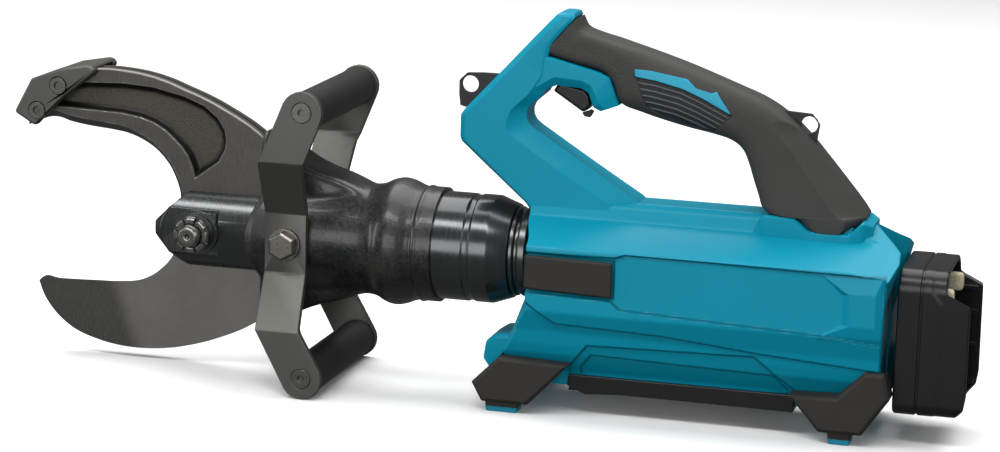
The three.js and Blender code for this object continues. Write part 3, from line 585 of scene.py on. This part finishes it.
def makeJaw(name, jaw, columns=420, across=150):
    outer = evenly(softened(jaw["outer"], 5), columns)[None]
    inner = evenly(softened(jaw["inner"], 3), columns)[None]
    t = np.linspace(0, 1, across)
    t = (0.5 - 0.5 * np.cos(pi * t))[:, None, None]
    face = outer + (inner - outer) * t
    x, z = face[..., 0], face[..., 1]
    edge = distanceToLine(jaw["inner"][2:], x, z)
    rim = distanceToLine(jaw["outer"], x, z)
    grind = plate["grindDepth"] * np.clip(1 - edge / jaw["grind"], 0, 1)
    depth = np.maximum(grind, plate["chamfer"] * np.clip(1 - rim / plate["chamfer"], 0, 1))
    if "recess" in jaw:
        u = np.clip(-distanceTo(jaw["recess"], x, z) / jaw["recessWall"], 0, 1)
        depth = np.maximum(depth, jaw["recessDepth"] * (1 - (1 - u) ** plate["wallPower"]))
    near = np.stack([x, depth - plate["thick"], z], -1)
    flat = face[::-1][[0, across // 2, -1]]
    far = np.stack([flat[..., 0], 0 * flat[..., 0] - plate["middleGap"], flat[..., 1]], -1)
    points = np.concatenate([near, far], 0)
    points[..., 1] *= jaw["tail"]
    wall = np.clip(-distanceTo(jaw["recess"], x, z), -3, 14) if "recess" in jaw else x * 0 - 3
    values = {"recess": wall, "edge": edge, "rim": rim}
    for key, value in values.items():
        both = np.concatenate([value, value[::-1][[0, across // 2, -1]] * 0 + 9], 0)
        values[key] = np.concatenate([both[:, :1], both, both[:, -1:]], 1)
    return makeGrid(name, capped(points), wrapU=True, angle=26, values=values)


# A flat plate with an outline in X and Z, its edges left to a bevel modifier
def makeSlab(name, outline, y0, y1, bevel=0.6):
    c = np.asarray(outline, float)
    n = len(c)
    points = np.vstack([np.insert(c, 1, y, axis=1) for y in (y0, y1)])
    walls = [(i, (i + 1) % n, n + (i + 1) % n, n + i) for i in range(n)]
    work = bmesh.new()
    mesh = bpy.data.meshes.new(name)
    mesh.from_pydata(place(points), [], [tuple(range(n)), tuple(range(2 * n - 1, n - 1, -1))] + walls)
    work.from_mesh(mesh)
    bmesh.ops.recalc_face_normals(work, faces=work.faces)
    work.to_mesh(mesh)
    work.free()
    piece = makeObject(name, mesh, 28)
    modifier = piece.modifiers.new("edges", "BEVEL")
    modifier.width, modifier.segments, modifier.use_clamp_overlap = bevel * mm, 2, False
    modifier.harden_normals = True
    return piece


def makeTail(name, sign):
    a = np.radians(np.linspace(20, -100, 12))
    b = np.radians(np.linspace(210, 60, 14))
    end = np.stack([pinAt[0] + 11 * np.cos(a), pinAt[1] + 11 * np.sin(a)], 1)
    hub = np.stack([28.6 * np.cos(b), 28.6 * np.sin(b)], 1)
    outline = np.vstack([end, [(28, -4), (14, -22), (-4, -27), (-19, -21)], hub, [(30, 42), (62, 40)]])
    return makeSlab(name, outline * (1, sign), -15.7 * sign if sign > 0 else 0.4, -0.4 if sign > 0 else 15.7)


for name, node, jaw in (("jaw_upper", "upper_jaw", upperJaw), ("jaw_lower", "lower_blade", lowerJaw)):
    finishPiece(makeJaw(name + "_plate", jaw), [node])
    finishPiece(makeTail(name + "_tail", jaw["tail"]), [node])
print("jaws ready")


# Battery mount: a round-cornered sleeve along X that ends in two side walls, open at the rear
mount = {"half": 42.6, "top": 18.4, "bottom": -86.5, "topRadius": 15, "bottomRadius": 9, "wall": 3.4,
         "rearOutline": [(-87, 570), (-80, 576), (-70, 577.5), (-3.5, 577), (4.5, 560.5), (19, 560)],
         "stations": [(526, 20), (526, 1.2), (527, 0.2), (528.2, 0), (541.6, 0), (542.1, 0.7), (543.3, 0.7),
                      (543.8, 0)],  # x, inset from the outside
         "inside": [(552, 3.4), (551.6, 4.4), (551.6, 20)], "ledge": 0.35,
         "ribX": (552, 574), "ribZ": [(-78, -74), (-50, -47), (-26, -22.5), (-8, -5)], "ribY": (34.6, 38.9)}


def roundedSection(half, top, bottom, topRadius, bottomRadius, steps=14):
    a = np.linspace(0, pi / 2, steps)
    upper = np.stack([half - topRadius + topRadius * np.sin(a), top - topRadius + topRadius * np.cos(a)], 1)
    lower = np.stack([half - bottomRadius + bottomRadius * np.cos(a),
                      bottom + bottomRadius - bottomRadius * np.sin(a)], 1)
    flat = np.linspace(top - topRadius - 0.5, bottom + bottomRadius + 0.5, 40)
    side = np.stack([np.full_like(flat, half), flat], 1)
    right = np.vstack([[(0, top)], upper, side, lower])
    left = right[1:][::-1] * (-1, 1)
    return np.vstack([right, [(0, bottom)], left])


def makeMount():
    outer = roundedSection(*(mount[key] for key in ("half", "top", "bottom", "topRadius", "bottomRadius")))
    middle = np.array([0, (mount["top"] + mount["bottom"]) / 2])
    reach = np.array([mount["half"], (mount["top"] - mount["bottom"]) / 2])
    rear = np.interp(outer[:, 1], *np.array(mount["rearOutline"]).T)
    w = mount["wall"]
    rings = [(np.full(len(outer), x), inset) for x, inset in mount["stations"]]
    seam, ledge = mount["stations"][-1][0], mount["ledge"]
    for f in np.linspace(0, 1, 14)[1:-1]:
        rings.append((seam + (rear - 1 - seam) * f, ledge * (f > 0.42)))
    rings += [(rear - 1, ledge), (rear - 0.2, 0.8), (rear, 1.4), (rear, w - 0.6), (rear - 0.6, w)]
    rings += [(x + 0 * rear, inset) for x, inset in mount["inside"]]
    sheets = []
    for x, inset in rings:
        section = middle + (outer - middle) * (1 - inset / reach)
        sheets.append(np.column_stack([x, section]))
    points = np.stack(sheets, 1)
    return makeGrid("battery_sleeve", capped(points), wrapU=True, angle=26)


finishPiece(makeMount(), ["battery_adapter", "battery_bracket"])
for side in (-1, 1):
    for low, high in mount["ribZ"]:
        front, back = mount["ribX"]
        rib = [(front, low), (front, high), (back, high), (back, low)]
        edges = sorted(side * y for y in mount["ribY"])
        finishPiece(makeSlab("mount_rib_%d_%d" % (side + 1, -low), rib, *edges, 0.4), ["battery_bracket"])
print("battery mount ready")


# Rubber boot: a round sleeve joined to a flat-topped fin over each jaw's tail.
# r(x, a) is a soft maximum of the sleeve's circle and the fin's rounded rectangle.
boot = {
    "sleeve": [(36, 37.0), (46, 38.0), (60, 39.4), (76, 39.6), (96, 40), (112, 40.6), (128, 41), (137, 42.4),
               (144, 45.8), (151, 47.4), (158, 46.2), (165, 43.4), (169, 42.6), (174, 42.6), (184, 42.6)],
    "fin": [(36, 86), (49, 78.4), (56, 73), (66, 65), (75, 58.8), (84, 54), (95, 49.8), (112, 44.4),
            (126, 36), (140, 20), (184, 10)],
    "finHalfWidth": 25.5, "wall": 3.4, "mouth": (39.5, 9.5), "end": 184, "rows": 170, "steps": 220,
    "finSquareness": 9, "joinSharpness": 14,
    "lips": [(2.2, 1.7, 1.1)], "band": [(172, 1.6, 0.8), (169, 1.1, -0.5)],  # place, width, rise
    "bendFrom": (60, 37), "bendTo": (56.7, 65.6),
}


def makeBoot():
    a = np.linspace(0, 2 * pi, boot["steps"], endpoint=False)[:, None]
    upright = np.abs(np.sin(a))
    start = boot["mouth"][0] + boot["mouth"][1] * np.clip(upright * 1.3, 0, 1) ** 2
    t = np.linspace(0, 1, boot["rows"])[None, :]
    x = start + (boot["end"] - start) * t
    circle, height = (np.interp(x, *through(rows, 300).T) for rows in (boot["sleeve"], boot["fin"]))
    half = boot["finHalfWidth"] - 6 * np.clip((x - 70) / 60, 0, 1)
    power, blend = boot["finSquareness"], boot["joinSharpness"]
    block = ((np.abs(np.cos(a)) / half) ** power + (upright / height) ** power) ** (-1 / power)
    radius = (circle ** blend + block ** blend) ** (1 / blend)
    rings = [(x - start, *row) for row in boot["lips"]] + [(x, *row) for row in boot["band"]]
    outer = radius + sum(rise * np.exp(-((at - centre) / width) ** 2) for at, centre, width, rise in rings)
    inner = radius - boot["wall"]
    rounded = np.sqrt(np.clip(1 - ((1 - np.clip((x - start) / boot["lips"][0][1], 0, 1)) ** 2), 0, 1))
    outer = inner + (outer - inner) * (0.45 + 0.55 * rounded)
    sheets = [np.stack([x + 0 * r, r * np.cos(a), r * np.sin(a)], -1) for r in (outer, inner)]
    points = np.concatenate([sheets[0], sheets[1][:, ::-1]], 1)
    middle = boot["steps"] // 2
    lower = np.concatenate([points[middle:], points[:1]], 0)
    for name, part, jaw, sign in (("boot_upper", points[:middle + 1], "upper_jaw", 1),
                                  ("boot_lower", lower, "lower_jaw", -1)):
        piece = makeGrid(name, part, wrapV=True, angle=50)
        closeEnds(piece)
        finishPiece(piece, ["boot"], body="")
        start, end = (place((px, 0, pz * sign)) for px, pz in (boot["bendFrom"], boot["bendTo"]))
        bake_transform(piece)


def closeEnds(piece):
    work = bmesh.new()
    work.from_mesh(piece.data)
    bmesh.ops.holes_fill(work, edges=[e for e in work.edges if e.is_boundary], sides=0)
    bmesh.ops.recalc_face_normals(work, faces=work.faces)
    work.to_mesh(piece.data)
    work.free()
    piece.data.shade_smooth()
    piece.data.set_sharp_from_angle(angle=radians(50))


makeBoot()
print("boot ready")


# Hydraulic cylinder and swivel neck
cylinderProfile = [(33.3, 168.3), (38.6, 168.3), (40, 170), (40, 206.6), (39.1, 207.6), (39.1, 211.4),
                   (40, 212.4), (40, 225), (34.6, 240), (30, 240), (30, 232), (33.3, 232), (33.3, 168.3)]
neckProfile = [(0, 232.4), (29.6, 232.4), (29.6, 240.4), (33, 240.4), (33, 243.4), (30.5, 244.2),
               (30.5, 246.6), (33, 247.4), (33, 252.6), (26, 252.8), (26, 285), (0, 285)]
finishPiece(makeTurned("cylinder_shell", cylinderProfile), ["cylinder_barrel"])
finishPiece(makeTurned("swivel_turned", neckProfile), ["swivel_neck"])


# A profile of (radius, y) rows turned about an axis along Y; castle cuts slots into its near end,
# y(a) = max(y, floor) inside each slot. The colour is lightened near the listed corners.
def makeTurnedY(name, profile, x=0.0, z=0.0, steps=96, radius=0.5, castle=None, corners=()):
    rows = softened(profile, radius)
    a = np.linspace(0, 2 * pi, steps, endpoint=False)[:, None]
    r, y = rows[None, :, 0] + 0 * a, rows[None, :, 1] + 0 * a
    if castle:
        count, width, floor = castle
        y = np.maximum(y, np.where(np.abs(np.mod(a * count / (2 * pi), 1) - 0.5) < width / 2, floor, -999))
    brightEdge = np.minimum.reduce([np.hypot(r - cr, y - cy) for cr, cy in corners] + [r * 0 + 9])
    points = np.stack([x + r * np.cos(a), y, z + r * np.sin(a)], -1)
    return makeGrid(name, points, wrapU=True, values={"brightEdge": np.exp(-(brightEdge / 0.45) ** 2)})


pinProfile = [(0, -47.8), (1.5, -48.6), (2.2, -50), (6.4, -50), (8.5, -47.8), (8.5, 28.3), (15, 28.3),
              (15, 35.5), (13.4, 37), (0, 37)]
nutProfile = [(8.6, -31.4), (13.4, -31.4), (14, -32.2), (14, -41.8), (12.4, -43.5), (9.6, -43.5),
              (8.6, -42.6), (8.6, -31.4)]
finishPiece(makeTurnedY("pivot_pin_turned", pinProfile, corners=((6.4, -50), (8.5, -47.8), (2.2, -50))),
            ["pivot_pin"])
finishPiece(makeTurnedY("pivot_nut_turned", nutProfile, steps=240, castle=(8, 0.32, -40.4),
                        corners=((12.4, -43.5), (14, -41.8), (9.6, -43.5), (14, -32.2))), ["pivot_nut"])


# Grip tubes between the side bars
def makeGripTube(name, node):
    low, high = (np.array(c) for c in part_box(node))
    centre, half = ((low + high) / 2 - pivot) / mm, (high[1] - low[1]) / 2 / mm
    r = (high[0] - low[0]) / 2 / mm
    profile = [(0, -half), (r - 1.2, -half), (r, 1.4 - half), (r, half - 1.4), (r - 1.2, half), (0, half)]
    finishPiece(makeTurnedY(name, profile, centre[0], centre[2], radius=1), [node])


for end in ("top", "bottom"):
    makeGripTube("grip_tube_" + end, "grip_bar_" + end)
print("cylinder and grip tubes ready")


# Return spring: a coil at one fixed length; the real one closes up as the piston moves forward
coil = {"from": 170.4, "to": 212.8, "radius": 24, "wire": 1.8, "turns": 5, "anchor": 168.3, "keep": 0.24}


def makeCoil():
    t = np.linspace(0, 1, 300)[None, :]
    turn = 2 * pi * coil["turns"] * t
    w = np.linspace(0, 2 * pi, 12, endpoint=False)[:, None]
    r = coil["radius"] + coil["wire"] * np.cos(w)
    x = coil["from"] + (coil["to"] - coil["from"]) * t + coil["wire"] * np.sin(w)
    points = capped(np.stack([x, r * np.cos(turn), r * np.sin(turn)], -1))
    piece = finishPiece(makeGrid("return_coil", points, wrapU=True, angle=60), ["return_spring"])
    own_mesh(piece)


makeCoil()


# Housing body: one half section carried along X, its side cut by shallow panels.
# y(x, z) = section(z) - the sum of eased steps of the distance to each panel's outline.
body = {
    "section": [(0.02, 45.6), (12.5, 45.2), (16.5, 42), (21, 32), (59.2, 17.4), (60, 15.8), (60, -30),
                (53.4, -45.5), (51, -56), (48, -64), (37, -79), (36.6, -88.4), (0.02, -88.4)],
    "front": [(-88.5, 243), (-65, 243), (-48, 253), (46, 253)],
    "rear": [(-88.5, 515), (-64, 517), (-15, 518.6), (10.5, 520.4), (21.6, 525.8), (27.5, 524.6), (41.5, 504),
             (46, 491)],
    "panel": [(250, 12.4), (325.8, 13.3), (333.4, 16.2), (474.3, 15.3), (519.3, 14.7), (519.2, -34.6),
              (472.7, -29.6), (331.1, -24), (323.6, -18.2), (250, -16.3)],
    "padSeat": [(259.4, 11.8), (325.8, 10.8), (325.8, -16.8), (259.4, -14.8)],
    "step": [(240, -9), (261.4, -23.9), (282.7, -38.8), (361.3, -41.5), (427.4, -48.1), (530, -55.3)],
    "trough": [(290, -90), (291, -73.5), (305.8, -54.7), (428, -51.6), (455.6, -76), (456, -90)],
    "lowerTrough": [(298, -90), (299, -74), (308, -62.4), (440.7, -65.6), (450, -76), (451, -90)],
    "columns": 340, "rows": 280, "setBack": 8, "sideFrom": 30, "edgeRadius": 1.4, "grooveWidth": 0.8,
    "facetFrom": (489, 13), "facetTop": (21, 32), "facetTilt": (0.0301, 0.464), "facetEase": (8, 517),
}


def housingRelief(x, y, z):
    def inside(name, depth, wall=0.9):
        return depth * ease(-distanceTo(body[name], x, z), -wall / 2, wall / 2)

    panel = inside("panel", 2.6, 1.6)
    diagonal = np.interp(z, [-31, -20.7, 1.3, 14.5], [472.6, 490.9, 489.7, 474])
    block = np.minimum.reduce([(14.6 - z) / 11.8, (z + 32.5) / 11.5, (x - diagonal) / 5 + 0.12,
                               (517.6 - x) / 4.4, np.ones_like(x)])
    raised = 3.3 * np.clip(block, 0, 1) * (x > 470)
    line = np.interp(x, *np.array(body["step"]).T)
    stepIn = 1.7 * ease(line - z, -0.5, 0.5) * (z > -80)
    relief = (panel - raised + inside("padSeat", 1.4) + stepIn + inside("trough", 2.0, 1.6)
              + inside("lowerTrough", 1.4))
    return relief * (y > body["sideFrom"])


def makeHousing(side):
    profile = evenly(softened(body["section"], 1.6), body["rows"])
    y, z = profile[:, :1], profile[:, 1:]
    front = np.interp(z, *np.array(body["front"]).T)
    rear = np.interp(z, *np.array(body["rear"]).T)
    v = np.linspace(0, 1, body["columns"])[None, :]
    front = front + body["setBack"] * ease(y, 18, 59) * ease(z, -46, -28)
    x = front + (rear - front) * v
    y, z = y + 0 * x, z + 0 * x
    (facetX, facetZ), (topY, topZ), (fall, slope) = body["facetFrom"], body["facetTop"], body["facetTilt"]
    extra, until = body["facetEase"]
    facet = topY + (topZ - fall * (x - facetX) - z) / slope
    facet = facet + extra * np.clip((until - x) / (until - facetX), 0, 1)
    facet = np.where((z > facetZ) & (x > facetX), np.maximum(facet, 0.02), np.inf)
    y = np.minimum(y - housingRelief(x, y, z), facet)
    edge, r = np.minimum(x - front, rear - x), body["edgeRadius"]
    tuck = r - np.sqrt(np.clip(r * r - (r - np.minimum(edge, r)) ** 2, 0, None))
    y = np.maximum(y - tuck * (y > 3), 0.02)
    points = capped(np.stack([x, side * y, z], -1))
    points[:, (0, -1), 1] = side * 10
    # groove marks the panel outlines and the step line, which the teal finish darkens as painted shade
    lines = [np.abs(distanceTo(body[name], x, z)) for name in ("panel", "padSeat", "trough", "lowerTrough")]
    lines.append(distanceToLine(body["step"], x, z))
    nearest = np.minimum.reduce(lines) / body["grooveWidth"]
    groove = np.exp(-nearest ** 2) * (y > body["sideFrom"]) * (z < 17)
    groove = np.concatenate([groove[:, :1], groove, groove[:, -1:]], 1)
    return makeGrid("housing_body_" + ("right" if side > 0 else "left"), points, wrapU=True, angle=24,
                    values={"groove": groove})


# A bar between an outer and an inner line: rows hold both lines, half width, and the outer
# and inner chamfers as (width, depth); the section is the chamfered rectangle between them,
# with a slot along the middle of its inner face
noSlot, guardSlot, slotHalf = 0.01, 3.4, 9


def makeStrip(name, rows, slot, count=160, soften=2.0, angle=24):
    r = evenly(softened(rows, soften), count)
    ox, oz, ix, iz, half, outW, outD, inW, inD = (r[None, :, i] for i in range(9))
    length = np.hypot(ix - ox, iz - oz)
    flat = [(0 * half, half - outD - 3), (0 * half, half - outD), (outW / length * 0.5, half - outD * 0.4),
            (outW / length, half), (1 - (inW + 1.6) / length, half),
            (1 - inW / length, half - 0.12 * inD - 0.3), (1 + 0 * half, half - inD),
            (1 + 0 * half, slotHalf + 0 * half), (1 - slot / length, slotHalf + 0 * half)]
    loop = flat + [(t, -y) for t, y in flat[::-1]]
    t = np.concatenate([a for a, _ in loop], 0)
    y = np.concatenate([b for _, b in loop], 0)
    points = np.stack([ox + (ix - ox) * t, y, oz + (iz - oz) * t], -1)
    return makeGrid(name, capped(points), wrapU=True, angle=angle)


postRows = [  # outer x, z, inner x, z, half width, outer chamfer width, depth, inner chamfer width, depth
    (253, 28, 334, 28, 18, 3, 3, 22, 7), (253, 33.6, 334, 43, 18, 3, 3, 22, 7),
    (248.9, 39.3, 331, 46.6, 18, 3, 3, 22, 7), (225, 59.6, 292, 70, 18, 3.2, 3, 21, 7),
    (199.4, 81.4, 253, 94, 18, 3.6, 3, 17, 6.5), (198, 84.5, 249, 97, 18, 4, 3, 15, 6),
    (198, 95, 246.8, 101, 18, 4, 3, 12, 6), (198, 101.2, 246.4, 106, 18, 4.2, 3, 10, 6),
    (200.8, 105.2, 248.4, 110.4, 18, 4.4, 3, 9, 6), (215, 120.8, 258, 119, 18, 4.6, 3, 8, 6),
    (232, 139.6, 264, 132, 18, 4.6, 3, 5, 4), (243, 151.8, 262, 149, 18, 4.6, 3, 2, 1.5),
    (252, 161.8, 265, 158, 18, 4.6, 3, 1.5, 1.5), (262, 172.8, 274, 168.8, 17, 4.6, 3, 1.5, 1.5),
    (267.4, 178.8, 280.4, 176.4, 15, 4.4, 3, 1.5, 1.5), (270.4, 180, 279.4, 179.4, 12.5, 3, 3, 1.5, 1.5)]
guardRows = [
    (246, 150, 250, 118, 17, 1.4, 1.4, 3, 3), (266, 147.2, 268, 127, 17.6, 1.4, 1.4, 5, 5),
    (288, 142, 286.6, 126, 17.4, 1.4, 1.4, 5, 5), (300, 139, 292, 123, 17.2, 1.4, 1.4, 5, 5),
    (308, 135.6, 294.4, 117, 17, 1.4, 1.4, 5, 5), (311.6, 126, 296, 112.6, 16, 1.4, 1.4, 4, 4),
    (315, 115.6, 301, 110, 14, 1.4, 1.4, 3, 3)]
collarRows = [
    (416, 33, 416, 22, 20, 3, 6, 1, 1), (424, 45, 424, 22, 23.4, 2, 3, 1, 1),
    (427, 46, 427, 22, 24, 1.4, 2, 1, 1), (447, 45.6, 447, 22, 24, 1.4, 2, 1, 1),
    (458, 36.6, 458, 22, 24.6, 1.4, 2, 1, 1),
    (487, 36.4, 487, 22, 24.6, 1.4, 2, 1, 1), (496, 46, 496, 22, 22.6, 1.4, 2, 1, 1),
    (503, 43, 503, 22, 16, 1.4, 2, 1, 1)]
noseRows = [
    (260, -58, 260, -88, 21.5, 2, 2, 1, 1), (231, -59.6, 232, -88, 21.5, 2.6, 3, 2, 2),
    (222.6, -65.4, 228, -88, 21, 3, 4, 2, 2), (221, -77, 229, -88, 20.6, 2, 3, 1, 1)]
for side in (-1, 1):
    node = "housing_right" if side > 0 else "housing_left"
    finishPiece(makeHousing(side), [node])
for name, rows in (("housing_post", postRows), ("trigger_guard", guardRows), ("grip_collar", collarRows),
                   ("nose_block", noseRows)):
    slot = guardSlot if name == "trigger_guard" else noSlot  # the trigger moves up into its guard
    finishPiece(makeStrip(name, rows, slot), ["housing_left", "housing_right"])
print("housing ready")


# Rubber grip: oval sections between a top line and a bottom line, squarer at both ends
grip = {
    "rows": [  # top x, top z, bottom x, bottom z, half width, squareness
        (281.6, 176.4, 260.2, 151.6, 17.4, 6), (286.5, 168.6, 264, 148.4, 17.6, 5.5),
        (297, 164.8, 283, 143.6, 18, 5), (309, 162, 301, 139.4, 18.4, 4.4),
        (320, 159.3, 309.6, 131, 18.8, 3.8), (332, 156.4, 315.6, 116.4, 19.2, 3.3),
        (346, 152.5, 331, 110.6, 19.6, 3), (362, 147.6, 348, 106, 19.8, 2.9),
        (381, 141, 366.4, 101.9, 19.8, 2.9), (400, 134, 384, 98.8, 19.6, 3),
        (418.7, 126.8, 397, 95.4, 19.6, 3.1), (434, 117.6, 405.6, 89.6, 20, 3.6),
        (450, 104, 410.8, 80, 20.8, 4.4), (464, 88.6, 414.6, 70, 21.6, 5.2),
        (480, 70, 419, 59, 22.8, 6), (490, 58, 423, 50, 23.6, 7), (496, 50, 432, 45.4, 24, 7),
        (497, 47, 448, 45, 24.2, 7), (493, 42.6, 458, 36.6, 24.2, 7), (486, 36.2, 462, 35.6, 24, 7)],
    "steps": 330, "count": 270, "bunching": 0.7, "relief": 0.5, "crestTaper": (0.42, 0.5),
    "grooveStep": 4.3, "grooveNarrowing": 0.012, "grooveWidth": 0.13,
}
inlayStart = 330
inlayLower = [(327.2, 138.2), (343.1, 136.2), (362.7, 131.6), (377.4, 125.6), (397.6, 115.5)]
inlayStrip = [(326.5, 143.8), (338, 143.4), (365.6, 138.9), (372.3, 132.9), (383.2, 130.1), (386.8, 131.8),
              (398, 116.3), (397.6, 114.8)] + inlayLower[::-1]
inlayField = inlayLower + [(398.4, 113.8), (385.7, 101.9), (368, 105), (349, 110.2), (335.3, 116.8)]


def makeGrip():
    rows = through(grip["rows"], grip["count"])
    a = np.linspace(0, 2 * pi, grip["steps"], endpoint=False)[:, None]
    a = a + grip["bunching"] / 2 * np.sin(2 * a)  # closer rows on the sides, where the grooves are
    tx, tz, bx, bz, half, square = (rows[None, :, i] for i in range(6))
    c, s = np.cos(a), np.sin(a)
    along = np.sign(c) * np.abs(c) ** (2 / square)
    across = np.sign(s) * np.abs(s) ** (2 / square)
    x = (tx + bx) / 2 + (tx - bx) / 2 * along
    z = (tz + bz) / 2 + (tz - bz) / 2 * along
    crest = ease(tx, 425, 450)
    taperFrom, taper = grip["crestTaper"]
    limit = 1 - taper * crest * np.clip((along - taperFrom) / (1 - taperFrom), 0, 1)
    y = half * np.sign(across) * np.minimum(np.abs(across), limit)
    strip = ease(-distanceTo(inlayStrip, x, z), -0.35, 0.35)
    field = ease(-distanceTo(inlayField, x, z), -0.35, 0.35) * (1 - strip)
    step = grip["grooveStep"] - grip["grooveNarrowing"] * (x - inlayStart)
    wave = np.mod(distanceToLine([(300, 139)] + inlayLower + [(440, 86)], x, z) / step, 1.0)
    lines = np.exp(-((wave - 0.9) / grip["grooveWidth"]) ** 2) * ease(-distanceTo(inlayField, x, z), 0.6, 1.4)
    side = ease(np.abs(across), 0.5, 0.7)
    y = y + np.sign(across) * side * grip["relief"] * (strip - field + lines)
    points = capped(np.stack([x, y, z], -1))
    flags = {"inlay": (2 * strip + field) * side, "groove": lines * side}
    flags = {key: np.concatenate([v[:, :1] * 0, v, v[:, :1] * 0], 1) for key, v in flags.items()}
    piece = makeGrid("rubber_grip", points, wrapU=True, angle=34, values=flags)
    finishPiece(piece, ["grip_left", "grip_right"])


makeGrip()
print("grip ready")


# Foam cushions in the battery mount: crowned blocks
def makeCushion(name, node):
    low, high = (np.array(c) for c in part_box(node))
    centre, half = ((low + high) / 2 - pivot) / mm, (high - low) / 2 / mm
    u = np.linspace(-pi / 2, pi / 2, 25)[None, :]
    v = np.linspace(0, 2 * pi, 48, endpoint=False)[:, None]
    power = 0.45
    cu, su = np.abs(np.cos(u)) ** power, np.sign(np.sin(u)) * np.abs(np.sin(u)) ** power
    cv, sv = (np.sign(f(v)) * np.abs(f(v)) ** power for f in (np.cos, np.sin))
    points = np.stack([centre[0] + half[0] * su + 0 * v, centre[1] + half[1] * cu * cv,
                       centre[2] + half[2] * cu * sv], -1)
    piece = finishPiece(makeGrid(name, points, wrapU=True, angle=60), [node])


for i in (1, 2):
    makeCushion("foam_cushion_%d" % i, "cushion_%d" % i)


def makeFloor():
    mesh = bpy.data.meshes.new("floor")
    mesh.from_pydata([(-6, -6, 0), (6, -6, 0), (6, 6, 0), (-6, 6, 0)], [], [(0, 1, 2, 3)])
    floor = bpy.data.objects.new("floor", mesh)
    bpy.context.scene.collection.objects.link(floor)
    f = Finish("paleFloor")
    mesh.materials.append(f.finish((0.86, 0.86, 0.86), 0.6, specular=0.2))
    floor.visible_diffuse = False
    floor.visible_glossy = False


makeFloor()
print("all pieces ready")
